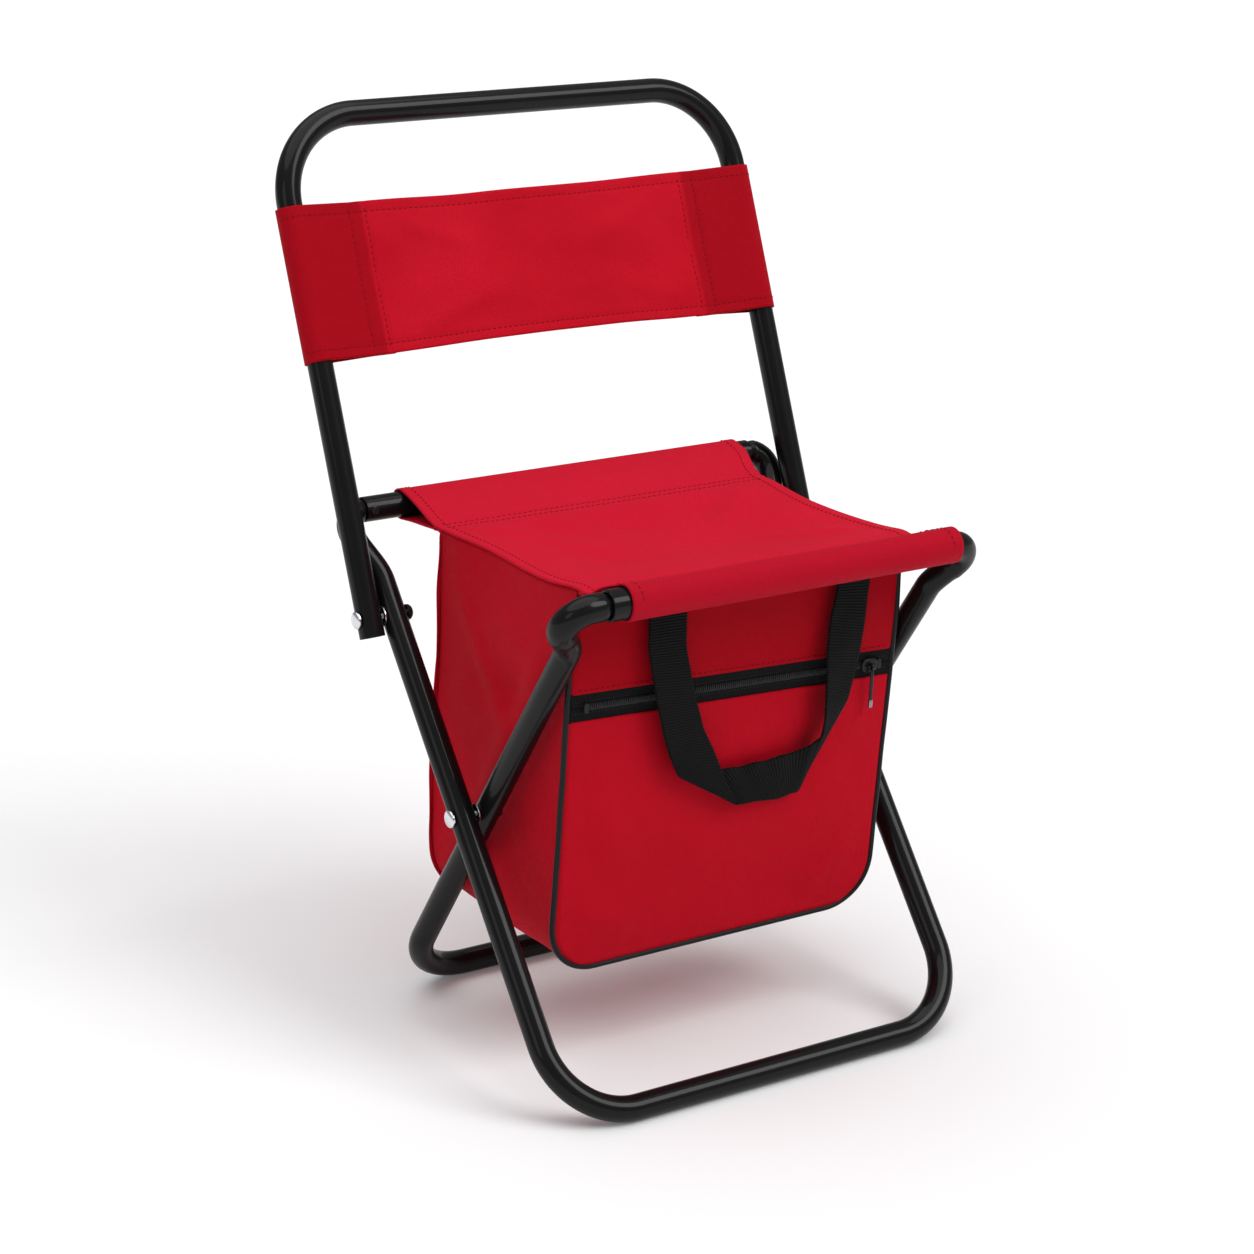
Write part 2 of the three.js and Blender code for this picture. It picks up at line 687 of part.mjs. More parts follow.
// Stands an outline drawn across and up on its edge, between a front and a back face. A rule may lift points.
function standing(outline, count, frontY, backY, lift = (x, y, z) => z) {
  const shape = outline instanceof THREE.Shape ? outline : new THREE.Shape(outline);
  const geometry = new THREE.ExtrudeGeometry(shape, { depth: 1, steps: count, bevelEnabled: false });
  return reshape(geometry, (vertex) => {
    const depthAt = (z) => lerp(backY(z), frontY(z), vertex.z);
    const z = lift(vertex.x, depthAt(vertex.y), vertex.y);
    vertex.set(vertex.x, depthAt(z), z);
  });
}

// Lifts a panel's straight top edge until it lies a gap under the seat.
const upToSeat = (gap) => (x, y, z) => (z < flatTop - clearance ? z : underSeat(x, y) - gap);

// Points between two ends of a top edge, so that it can follow the seat's sag.
function topEdge(half) {
  const shares = Array.from({ length: steps.panel - 1 }, (_, i) => (i + 1) / steps.panel);
  return shares.map((share) => new THREE.Vector2(lerp(half, -half, share), flatTop));
}

const behindFace = (depth) => (z) => panelFace(z) + depth;

function frontLowerPanel() {
  const edge = -zip.height / 2 - clearance;
  const outline = bagOutline(0, flatTop);
  outline[0].y = zipLine(-bagHalf) + edge;
  outline.at(-1).y = zipLine(bagHalf) + edge;
  return standing(outline, 1, behindFace(0), behindFace(bag.wall));
}

function frontUpperPanel() {
  const edge = zip.height / 2 + clearance;
  const outline = [
    new THREE.Vector2(-bagHalf, zipLine(-bagHalf) + edge),
    new THREE.Vector2(bagHalf, zipLine(bagHalf) + edge),
    new THREE.Vector2(bagHalf, flatTop),
    ...topEdge(bagHalf),
    new THREE.Vector2(-bagHalf, flatTop),
  ];
  return standing(outline, 1, behindFace(0), behindFace(bag.wall), upToSeat(bag.frontSeamGap));
}

function backPanel() {
  const outline = [...bagOutline(pipingOffset, flatTop), ...topEdge(bagHalf + pipingOffset)];
  return standing(outline, 1, () => backFace, () => backFace + bag.wall, upToSeat(clearance));
}

function gusset() {
  const inside = bagOutline(pipingOffset - bag.wall, flatTop).reverse();
  const outline = [...bagOutline(pipingOffset, flatTop), ...inside];
  const behind = behindFace(bag.wall + clearance);
  return standing(outline, steps.side, behind, () => backFace - clearance, upToSeat(clearance));
}

function insulatingLiner() {
  const outside = pipingOffset - bag.wall - clearance;
  const top = flatTop - linerTopGap;
  const front = bag.wall + clearance;
  const back = backFace - clearance;
  const body = standing(bagOutline(outside, top), 1, behindFace(front), () => back);
  const hollow = standing(
    bagOutline(outside - linerWall, top + overrun),
    1,
    behindFace(front + linerWall),
    () => back - linerWall,
  );
  return cut(body, [hollow]);
}

function frontPiping() {
  const up = new THREE.Vector3(0, -panelSlopeShare, 1).normalize();
  const half = bagHalf + pipingOffset;
  const radius = bag.cornerRadius + pipingOffset;
  const origin = new THREE.Vector3(0, frontFace + pipingRadius - clearance, bagBottom - pipingOffset);
  const topZ = underSeat(half, panelFace(flatTop)) - pipingRadius - clearance;
  const topEnd = {
    at: new THREE.Vector2(half, (topZ - origin.z) / up.z),
    heading: new THREE.Vector2(0, 1),
  };
  const rightHalf = [...quarterBend(half - radius, radius, radius, -Math.PI / 2, steps.corner), topEnd];
  const inscribed = pipingRadius * Math.cos(Math.PI / steps.pipingSides);
  const section = new THREE.Shape(polygonRound(inscribed, steps.pipingSides, 0));
  return alongPath(section, wholePath(rightHalf, origin, up));
}

// The zip

// An outline that follows the zip's line between two places across and two heights over its middle.
function zipOutline(left, right, low, high) {
  const corner = (x, offset) => new THREE.Vector2(x, zipLine(x) + offset);
  return [corner(left, low), corner(right, low), corner(right, high), corner(left, high)];
}

const coilEnd = bagHalf - zip.endInset;
const coilHalf = zip.coilHeight / 2;
const coilFront = -zip.coilProud;
const stopFace = coilEnd - zip.stopLength;
const sliderMiddle = stopFace - clearance - slider.length / 2;
const sliderBack = coilFront - clearance;
const sliderFront = sliderBack - slider.thickness;
const bridgeMiddle = sliderFront - slider.bridgeRise + slider.bridgeWire / 2;

function zipTape(side) {
  const near = coilHalf + clearance;
  const far = zip.height / 2;
  const outline = zipOutline(-bagHalf, bagHalf, side < 0 ? -far : near, side < 0 ? -near : far);
  return standing(outline, 1, behindFace(zip.tapeDepth), behindFace(zip.tapeDepth + zip.tapeThickness));
}

function zipCoil() {
  const outline = zipOutline(-coilEnd, coilEnd, -coilHalf, coilHalf);
  return standing(outline, 1, behindFace(coilFront), behindFace(coilFront + zip.coilThickness));
}

function zipStop(side) {
  const half = coilHalf + zip.stopOverhang;
  const [left, right] = side < 0 ? [-coilEnd, -stopFace] : [stopFace, coilEnd];
  const front = behindFace(coilFront - clearance - zip.stopThickness);
  return standing(zipOutline(left, right, -half, half), 1, front, behindFace(coilFront - clearance));
}

// The slider's plate rides before the coil, and a wire bridge on it carries the pull.
function zipSlider() {
  const half = slider.length / 2;
  const outline = zipOutline(sliderMiddle - half, sliderMiddle + half, -slider.height / 2, slider.height / 2);
  const plate = standing(outline, 1, behindFace(sliderFront), behindFace(sliderBack));
  const reach = slider.bridgeSpan / 2;
  const wire = slider.bridgeWire;
  const foot = -slider.thickness / 2;
  const bridge = new THREE.Shape([
    new THREE.Vector2(-reach - wire, foot),
    new THREE.Vector2(-reach, foot),
    new THREE.Vector2(-reach, slider.bridgeRise - wire),
    new THREE.Vector2(reach, slider.bridgeRise - wire),
    new THREE.Vector2(reach, foot),
    new THREE.Vector2(reach + wire, foot),
    new THREE.Vector2(reach + wire, slider.bridgeRise),
    new THREE.Vector2(-reach - wire, slider.bridgeRise),
  ]);
  const z = zipLine(sliderMiddle);
  const arch = new THREE.ExtrudeGeometry(bridge, { depth: wire, steps: 1, bevelEnabled: false });
  arch.translate(0, 0, -wire / 2).rotateX(Math.PI).rotateY(radians(zip.dropDegrees));
  return join([plate, arch.translate(sliderMiddle, panelFace(z) + sliderFront, z)]);
}

// The pull hangs from its eye round the bridge.
function zipPull() {
  const half = pull.thickness / 2;
  const eyeFrom = Math.asin(half / pull.eyeRadius);
  const eye = Array.from({ length: steps.turned + 1 }, (_, i) => {
    const angle = -Math.PI / 2 + eyeFrom + (2 * (Math.PI - eyeFrom) * i) / steps.turned;
    return new THREE.Vector2(pull.eyeRadius * Math.cos(angle), pull.eyeRadius * Math.sin(angle));
  });
  const tip = half + pull.thickness / 4;
  const tipTop = -pull.length + pull.tipHeight;
  const shape = new THREE.Shape([
    ...eye,
    new THREE.Vector2(-half, tipTop),
    new THREE.Vector2(-tip, tipTop),
    new THREE.Vector2(-tip, -pull.length),
    new THREE.Vector2(tip, -pull.length),
    new THREE.Vector2(tip, tipTop),
    new THREE.Vector2(half, tipTop),
  ]);
  shape.holes.push(new THREE.Path(polygonRound(pull.holeRadius, steps.turned, 0)));
  const geometry = new THREE.ExtrudeGeometry(shape, { depth: pull.width, steps: 1, bevelEnabled: false });
  const backwards = new THREE.Vector3(0, 1, 0);
  const placed = new THREE.Matrix4().makeBasis(backwards, new THREE.Vector3(0, 0, 1), across);
  const z = zipLine(sliderMiddle);
  geometry.translate(0, 0, -pull.width / 2).applyMatrix4(placed);
  return geometry.translate(sliderMiddle, panelFace(z) + bridgeMiddle, z);
}

// The carry handle

const strapY = panelFace(flatTop) - strap.fromPanel;
const foldZ = seatHeight(strapY) - clothThickness / 2 - strap.foldUnderSeat;

// The strap's two edges: its middle line moved sideways by half its visible width.
function strapOutline() {
  const places = strapAcrossShares.map(
    (share, i) => new THREE.Vector2(share * bagHalf, foldZ - strapDownShares[i] * strap.drop),
  );
  const middle = new THREE.SplineCurve(places);
  const widths = new THREE.SplineCurve(
    strapWidthShares.map((share, i) => new THREE.Vector2(i, share * strap.width)),
  );
  const edge = (side) =>
    Array.from({ length: steps.strap + 1 }, (_, i) => {
      const share = i / steps.strap;
      const along = middle.getTangent(share);
      const half = (side * widths.getPoint(share).y) / 2;
      return middle.getPoint(share).add(new THREE.Vector2(-along.y, along.x).multiplyScalar(half));
    });
  return [...edge(-1), ...edge(1).reverse()];
}

function carryHandle() {
  const front = behindFace(-strap.fromPanel - strap.thickness);
  const geometry = standing(strapOutline(), 1, front, behindFace(-strap.fromPanel));
  return reshape(geometry, (vertex) => {
    vertex.z = Math.min(vertex.z, foldZ);
  });
}

// A sewn end of the strap, sloping back from the fold to the panel under the seat.
function handleEnd(side) {
  const share = side < 0 ? strapAcrossShares[0] : strapAcrossShares.at(-1);
  const widthShare = side < 0 ? strapWidthShares[0] : strapWidthShares.at(-1);
  const middle = share * bagHalf;
  const half = (widthShare * strap.width) / 2;
  const low = foldZ + clearance;
  const high = low + strap.endHeight;
  const outline = [
    new THREE.Vector2(middle - half, low),
    new THREE.Vector2(middle + half, low),
    new THREE.Vector2(middle + half, high),
    new THREE.Vector2(middle - half, high),
  ];
  const back = (z) => panelFace(z) - lerp(strap.fromPanel, clearance, (z - low) / strap.endHeight);
  return standing(outline, 1, (z) => back(z) - strap.thickness, back);
}

// The stool

const frontRivetX = frontRailHalf - railRivet.fromRim;
const rearRivetX = rearRailHalf - railRivet.fromRim;
const innerOf = (halfWidth) => halfWidth - tube.radius;
const outerOf = (halfWidth) => halfWidth + tube.radius;

const frame = new THREE.Group();
frame.add(
  makeMesh(
    "front_leg_tube",
    legFrame(
      frontFrame,
      frontFrame.halfWidth,
      frontFoot,
      frontUp,
      rearRail,
      rearRailAxis,
      [crossing, backrestPivot],
      railRivetDegrees.rear,
    ),
    blackPaint,
  ),
  makeMesh(
    "rear_leg_tube",
    legFrame(
      rearFrame,
      rearHalfWidth,
      rearFoot,
      rearUp,
      frontRail,
      frontRailAxis,
      [crossing],
      railRivetDegrees.front,
    ),
    blackPaint,
  ),
  makeMesh(
    "rear_seat_rail",
    seatRail(frontFrame, frontFrame.halfWidth, rearRail, rearRailAxis, railRivetDegrees.rear),
    blackPaint,
  ),
  makeMesh(
    "front_seat_rail",
    seatRail(rearFrame, rearHalfWidth, frontRail, frontRailAxis, railRivetDegrees.front),
    blackPaint,
  ),
  makeMesh("backrest_tube", backrestTube(), blackPaint),
  ...railRivetMeshes("rear_rail_rivet", rearRail, rearRailAxis, rearRivetX, railRivetDegrees.rear),
  ...railRivetMeshes("front_rail_rivet", frontRail, frontRailAxis, frontRivetX, railRivetDegrees.front),
  ...makePair(
    "cross_rivet",
    (side) => pivotRivet(side, crossing, innerOf(rearHalfWidth), outerOf(frontFrame.halfWidth)),
    chrome,
  ),
  ...makePair("cross_washer", (side) => pivotWasher(side, crossing, outerOf(rearHalfWidth)), chrome),
  ...makePair(
    "backrest_bolt",
    (side) => pivotBolt(side, backrestPivot, innerOf(frontFrame.halfWidth), outerOf(backrestHalfWidth)),
    chrome,
  ),
  ...makePair(
    "backrest_nut",
    (side) => domedNut(side, backrestPivot, innerOf(frontFrame.halfWidth)),
    blackMetal,
  ),
  ...makePair(
    "backrest_washer",
    (side) => pivotWasher(side, backrestPivot, outerOf(frontFrame.halfWidth)),
    chrome,
  ),
);

const sewn = new THREE.Group();
sewn.add(
  makeMesh("backrest_band", backrestBand(), redCloth),
  makeMesh("seat_sling", seatSling(), redCloth),
  makeMesh("bag_front_lower", frontLowerPanel(), redCloth),
  makeMesh("bag_front_upper", frontUpperPanel(), redCloth),
  makeMesh("bag_back_panel", backPanel(), redCloth),
  makeMesh("bag_gusset", gusset(), redCloth),
  makeMesh("bag_liner", insulatingLiner(), foil),
  makeMesh("bag_front_piping", frontPiping(), blackCloth),
  makeMesh("zip_tape_lower", zipTape(-1), blackCloth),
  makeMesh("zip_tape_upper", zipTape(1), blackCloth),
  makeMesh("zip_coil", zipCoil(), blackCloth),
  ...makePair("zip_stop", zipStop, blackMetal),
  makeMesh("zip_slider", zipSlider(), blackMetal),
  makeMesh("zip_pull", zipPull(), blackMetal),
  makeMesh("carry_handle", carryHandle(), blackCloth),
  ...makePair("handle_end", handleEnd, blackCloth),
);

const stool = new THREE.Group();
stool.add(frame, sewn);
stool.position.y = -outlineMiddle;

export default stool;
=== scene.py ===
# Folding cooler stool: black tube frame, red cloth seat, back band and insulated bag, webbing handle.
import math
import bmesh
import bpy
import numpy as np
from mathutils import Matrix, Vector


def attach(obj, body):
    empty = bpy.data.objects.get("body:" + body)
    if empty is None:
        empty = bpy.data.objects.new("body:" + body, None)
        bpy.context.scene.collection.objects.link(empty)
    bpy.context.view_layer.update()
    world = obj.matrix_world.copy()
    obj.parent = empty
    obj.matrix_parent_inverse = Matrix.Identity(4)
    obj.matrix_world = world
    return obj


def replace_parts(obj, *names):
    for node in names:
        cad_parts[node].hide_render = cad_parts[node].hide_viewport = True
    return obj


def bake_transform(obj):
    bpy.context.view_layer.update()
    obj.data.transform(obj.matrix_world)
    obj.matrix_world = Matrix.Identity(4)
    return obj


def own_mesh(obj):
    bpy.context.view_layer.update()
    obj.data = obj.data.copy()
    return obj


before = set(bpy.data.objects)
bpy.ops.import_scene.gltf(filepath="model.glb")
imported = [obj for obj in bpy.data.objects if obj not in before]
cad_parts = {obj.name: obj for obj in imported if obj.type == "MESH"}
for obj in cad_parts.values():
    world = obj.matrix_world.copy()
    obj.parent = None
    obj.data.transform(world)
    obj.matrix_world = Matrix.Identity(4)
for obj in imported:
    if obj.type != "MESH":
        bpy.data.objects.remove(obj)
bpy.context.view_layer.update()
mm = 0.001  # every shape below is worked out in millimetres
print("frame loaded")


# Shapes

def unit(vectors):
    # Vectors divided by their lengths.
    return vectors / np.maximum(np.linalg.norm(vectors, axis=-1, keepdims=True), 1e-12)


def smooth(share):
    # Rises from 0 to 1 with level ends: 3 t^2 - 2 t^3.
    share = np.clip(share, 0, 1)
    return share * share * (3 - 2 * share)


def joined(*parts):
    # Coordinates side by side as points, each spread over the others' shape.
    return np.stack(np.broadcast_arrays(*parts), -1)


def grid(first, second):
    # Two rows of values as a grid: the first runs down it, the second across it.
    return np.meshgrid(first, second, indexing="ij")


def mix(low, high, share):
    # A straight blend of two values.
    return low + (high - low) * share


def ripple(u, v, seed, wavelength, count=10):
    # A soft uneven height from -1 to 1: the mean of plane waves in random directions.
    rng = np.random.default_rng(seed)
    angle, phase = rng.uniform(0, 2 * np.pi, (2, count))
    pitch = wavelength * rng.uniform(0.7, 1.6, count)
    u, v = np.asarray(u)[..., None], np.asarray(v)[..., None]
    along = (u * np.cos(angle) + v * np.sin(angle)) / pitch
    return np.cos(2 * np.pi * along + phase).mean(-1) * 2


def bell(distance, width):
    # Falls off on both sides of 0: exp(-(d / width)^2).
    return np.exp(-(distance / width) ** 2)


def fold(u, v, start, end, width, height):
    # A soft ridge along a line: a bell across it that fades out at both ends.
    start, end = np.asarray(start, float), np.asarray(end, float)
    run = end - start
    place = ((u - start[0]) * run[0] + (v - start[1]) * run[1]) / (run @ run)
    off = ((u - start[0]) * run[1] - (v - start[1]) * run[0]) / math.hypot(*run)
    fade = smooth(place / 0.3) * smooth((1 - place) / 0.3)
    return height * bell(off, width) * fade


def folds(u, v, *ridges):
    # The sum of several ridges, each given as start, end, width and height.
    return sum(fold(u, v, *ridge) for ridge in ridges)


def lengthsAlong(points):
    # How far each point lies along its line.
    return np.r_[0, np.cumsum(np.linalg.norm(np.diff(points, axis=0), axis=1))]


def pick(places, lengths, points):
    # Points at the stated places along a line.
    return np.stack([np.interp(places, lengths, column) for column in points.T], -1)


def respace(points, spacing):
    # The same line with points at equal steps of its own length.
    points = points[np.r_[True, np.linalg.norm(np.diff(points, axis=0), axis=1) > 1e-6]]
    lengths = lengthsAlong(points)
    count = max(2, int(round(lengths[-1] / spacing)) + 1)
    return pick(np.linspace(0, lengths[-1], count), lengths, points)


def roundedPath(corners, bends, spacing):
    # A bent line: each inner corner becomes the arc of its bend's radius that touches both sides.
    corners = np.asarray(corners, float)
    parts = [corners[:1]]
    for before, corner, after, bend in zip(corners, corners[1:], corners[2:], bends):
        back, on = unit(before - corner), unit(after - corner)
        half = math.acos(float(back @ on)) / 2
        centre = corner + unit(back + on) * bend / math.sin(half)
        first = corner + back * bend / math.tan(half) - centre
        last = corner + on * bend / math.tan(half) - centre
        turn = math.pi - 2 * half
        t = np.linspace(0, 1, max(8, int(turn * bend / spacing)))[:, None]
        parts.append(centre + (np.sin((1 - t) * turn) * first + np.sin(t * turn) * last) / math.sin(turn))
    parts.append(corners[-1:])
    return respace(np.concatenate(parts), spacing)


def loopRound(centre, radius, start, end, count=60):
    # The arc of a line drawn tight from one point round the far side of a circle to another, turning left.
    def touch(point, way):
        offset = np.subtract(point, centre)
        return math.atan2(offset[1], offset[0]) + way * math.acos(radius / math.hypot(*offset))
    first = touch(start, 1)
    turn = (touch(end, -1) - first) % (2 * math.pi)
    angle = first + turn * np.linspace(0, 1, count)
    return np.asarray(centre) + radius * joined(np.cos(angle), np.sin(angle))


def squareTo(line):
    # The direction square to a flat line, on its right as it runs.
    run = unit(np.gradient(line, axis=0))
    return joined(run[:, 1], -run[:, 0])


def anglesRound(count):
    # Equal steps of angle, once round.
    return np.linspace(0, 2 * np.pi, count, endpoint=False)


def circles(first, second, sides):
    # Circles of radius 1 through two square directions: cos a * first + sin a * second.
    angle = anglesRound(sides)[:, None]
    return np.cos(angle) * first[..., None, :] + np.sin(angle) * second[..., None, :]


def gridFaces(rows, columns, wrapRows=False, wrapColumns=False):
    # Four-sided faces between neighbouring points of a grid.
    r = np.arange(rows if wrapRows else rows - 1)[:, None]
    c = np.arange(columns if wrapColumns else columns - 1)[None, :]
    nextR, nextC = (r + 1) % rows, (c + 1) % columns
    corners = joined(r * columns + c, nextR * columns + c, nextR * columns + nextC, r * columns + nextC)
    return corners.reshape(-1, 4)


def placed(name, data):
    # A new object in the scene.
    thing = bpy.data.objects.new(name, data)
    bpy.context.scene.collection.objects.link(thing)
    return thing


def makePiece(name, points, faces, finish, uv=None, closed=False, sharp=None):
    # A mesh object from points in millimetres; a closed one is merged at its poles and turned outwards.
    mesh = bpy.data.meshes.new(name)
    mesh.from_pydata((points.reshape(-1, 3) * mm).tolist(), [], np.asarray(faces).tolist())
    if uv is not None:
        corner = np.empty(len(mesh.loops), np.int32)
        mesh.loops.foreach_get("vertex_index", corner)
        spots = (uv.reshape(-1, 2) * mm)[corner].astype(np.float32)
        mesh.uv_layers.new(name="cloth").data.foreach_set("uv", spots.ravel())
    if closed:
        shell = bmesh.new()
        shell.from_mesh(mesh)
        bmesh.ops.remove_doubles(shell, verts=shell.verts, dist=2e-6)
        bmesh.ops.recalc_face_normals(shell, faces=shell.faces)
        shell.to_mesh(mesh)
        shell.free()
    mesh.polygons.foreach_set("use_smooth", np.ones(len(mesh.polygons), bool))
    if sharp:
        mesh.set_sharp_from_angle(angle=math.radians(sharp))
    mesh.materials.append(finish)
    return placed(name, mesh)


def thicken(piece, thickness, offset=0.0):
    # Gives a single layer its thickness.
    layer = piece.modifiers.new("thickness", "SOLIDIFY")
    layer.thickness, layer.offset = thickness * mm, offset


def ringShell(name, rings, finish, body, node=None, sharp=None, wrapRows=False):
    # A closed surface through rings of points, which moves with a body and may stand for a CAD node.
    faces = gridFaces(*rings.shape[:2], wrapRows, True)
    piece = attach(makePiece(name, rings, faces, finish, closed=True, sharp=sharp), body)
    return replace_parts(piece, node) if node else piece


def clothLayer(name, points, finish, uv, thickness, body=None, node=None, flip=1):
    # One layer of cloth or webbing on a grid, which may move with a body and stand for a CAD node.
    piece = makePiece(name, points, gridFaces(*points.shape[:2])[:, ::flip], finish, uv=uv)
    thicken(piece, thickness)
    if body:
        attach(piece, body)
    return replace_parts(piece, node) if node else piece


def sweepRings(path, normal, stations, radii, sides):
    # Rings round a flat path: centre + radius * (cos a * sideways + sin a * the plane's normal).
    sideways = np.cross(unit(np.gradient(path, axis=0)), normal)[stations]
    return path[stations][:, None] + np.asarray(radii)[..., None] * circles(sideways, normal, sides)


def turnedRings(profile, centre, side, sides=48):
    # A profile of (place along X, radius) pairs turned about a line along X, mirrored for the left side.
    along, radius = np.asarray(profile, float).T[..., None]
    angle = anglesRound(sides)
    return joined(side * along, centre[0] + radius * np.cos(angle), centre[1] + radius * np.sin(angle))


def domeProfile(seat, radius, height, count=10):
    # A low round head: its edge rises straight for a third, then follows an ellipse to its top.
    angle = np.linspace(0, np.pi / 2, count)
    top = joined(seat + height * (0.3 + 0.7 * np.sin(angle)), radius * np.cos(angle))
    return np.r_[[[seat, radius]], top]


def stitches(name, line, outward, finish, length=2.8, gap=1.1, thick=0.36, rise=0.2):
    # Thread along a line: each stitch is a small spindle that rises from the cloth in the middle.
    steps = lengthsAlong(line)
    count = max(1, int((steps[-1] - gap) // (length + gap)))
    spare = (steps[-1] - count * (length + gap) + gap) / 2
    share = np.linspace(0, 1, 5)
    place = spare + np.arange(count)[:, None] * (length + gap) + share * length
    centre, up = pick(place, steps, line), unit(pick(place, steps, outward))
    run = unit(np.gradient(centre, axis=1))
    swell = 4 * share * (1 - share)
    centre = centre + up * (rise * swell - 0.05)[:, None]
    sides = 6
    ring = circles(np.cross(run, up), up, sides)
    points = centre[:, :, None] + ring * (thick * np.sqrt(swell))[:, None, None]
    first = np.arange(count) * len(share) * sides
    faces = gridFaces(len(share), sides, wrapColumns=True) + first[:, None, None]
    return makePiece(name, points, faces.reshape(-1, 4), finish, closed=True)


# Finishes

class Wire:
    # A shader socket that takes part in Python sums.
    def __init__(self, finish, node, output=0):
        self.finish, self.node, self.socket = finish, node, node.outputs[output]

    def out(self, output):
        # Another output of the same node.
        return Wire(self.finish, self.node, output)

    def maths(self, operation, first, second=0.0):
        # One step of arithmetic on two sockets or numbers.
        return self.finish.add("ShaderNodeMath", {"operation": operation}, {0: first, 1: second})

    __add__ = __radd__ = lambda self, other: self.maths("ADD", self, other)
    __mul__ = __rmul__ = lambda self, other: self.maths("MULTIPLY", self, other)
    __sub__ = lambda self, other: self.maths("SUBTRACT", self, other)
    __rsub__ = lambda self, other: self.maths("SUBTRACT", other, self)

    def wave(self):
        # The sine of an angle in radians.
        return self.maths("SINE", self)

    def size(self):
        # The value without its sign.
        return self.maths("ABSOLUTE", self)

    def held(self):
        # Kept between nothing and one.
        return self.maths("MINIMUM", self.maths("MAXIMUM", self), 1.0)


class Finish:
    # A material built node by node round one Principled shader.
    def __init__(self, name, **constants):
        self.material = bpy.data.materials.new(name)
        self.material.use_nodes = True
        self.tree = self.material.node_tree
        self.tree.nodes.clear()
        self.shader = self.add("ShaderNodeBsdfPrincipled", {}, {})
        self.add("ShaderNodeOutputMaterial", {}, {"Surface": self.shader})
        for key, value in constants.items():
            self.set(key, value)

    def add(self, kind, settings, sockets):
        # A new node with its settings made and its sockets fed.
        node = self.tree.nodes.new(kind)
        for key, value in settings.items():
            setattr(node, key, value)
        for key, value in sockets.items():
            self.feed(node.inputs[key], value)
        return Wire(self, node) if node.outputs else None

    def feed(self, socket, value):
        # A link from another node, or a constant.
        if isinstance(value, Wire):
            self.tree.links.new(value.socket, socket)
        else:
            socket.default_value = value

    def set(self, key, value):
        # Feeds one of the shader's own sockets.
        self.feed(self.shader.node.inputs[key], value)

    def place(self):
        # Where a point lies in space, in metres.
        return self.add("ShaderNodeTexCoord", {}, {}).out("Object")

    def clothPlace(self):
        # Where a point lies on the flat cloth: as a pair, across and along.
        spot = self.add("ShaderNodeUVMap", {"uv_map": "cloth"}, {})
        parts = self.add("ShaderNodeSeparateXYZ", {}, {"Vector": spot})
        return spot, parts.out("X"), parts.out("Y")

    def noise(self, vector, scale, detail=3.0, roughness=0.55):
        # A cloudy value from 0 to 1, with the scale in lumps a metre.
        sockets = {"Vector": vector, "Scale": scale, "Detail": detail, "Roughness": roughness}
        return self.add("ShaderNodeTexNoise", {}, sockets).out("Fac")

    def blend(self, share, low, high):
        # From one colour to the other: low + (high - low) * share.
        # The Mix node has sockets of the same name for each kind of value, so they are told apart here.
        node = self.add("ShaderNodeMix", {"data_type": "RGBA"}, {}).node
        sockets = {socket.identifier: socket for socket in node.inputs}
        for key, value in (("Factor_Float", share), ("A_Color", low), ("B_Color", high)):
            self.feed(sockets[key], value)
        return Wire(self, node, [socket.identifier for socket in node.outputs].index("Result_Color"))

    def made(self, colour, roughness, relief, strength, distance):
        # The finished material: its colour, its dullness, and a relief that tilts the surface.
        self.set("Base Color", colour)
        self.set("Roughness", roughness)
        sockets = {"Height": relief, "Strength": strength, "Distance": distance * mm}
        self.set("Normal", self.add("ShaderNodeBump", {}, sockets).out("Normal"))
        return self.material


def darker(colour, share):
    # A share of a colour's light.
    return tuple(share * part for part in colour[:3]) + (1.0,)


def paintFinish(name, colour, worn, roughness):
    # Stoved enamel: a faint orange peel, and gloss that varies a little along the tube.
    finish = Finish(name, **{"IOR": 1.45, "Specular IOR Level": 0.08, "Coat Weight": 0.26,
                             "Coat Roughness": 0.09})
    spot = finish.place()
    cloud, peel = finish.noise(spot, 26.0), finish.noise(spot, 900.0, 1.0)
    return finish.made(finish.blend(cloud, colour, worn), roughness + 0.12 * cloud, peel, 0.12, 0.08)


def metalFinish(name, colour, roughness):
    # Bright plated steel with a fine brushed unevenness.
    finish = Finish(name, **{"Metallic": 1.0})
    cloud = finish.noise(finish.place(), 350.0)
    tint = finish.blend(cloud, darker(colour, 0.8), colour)
    return finish.made(tint, roughness + 0.16 * cloud, cloud, 0.08, 0.05)


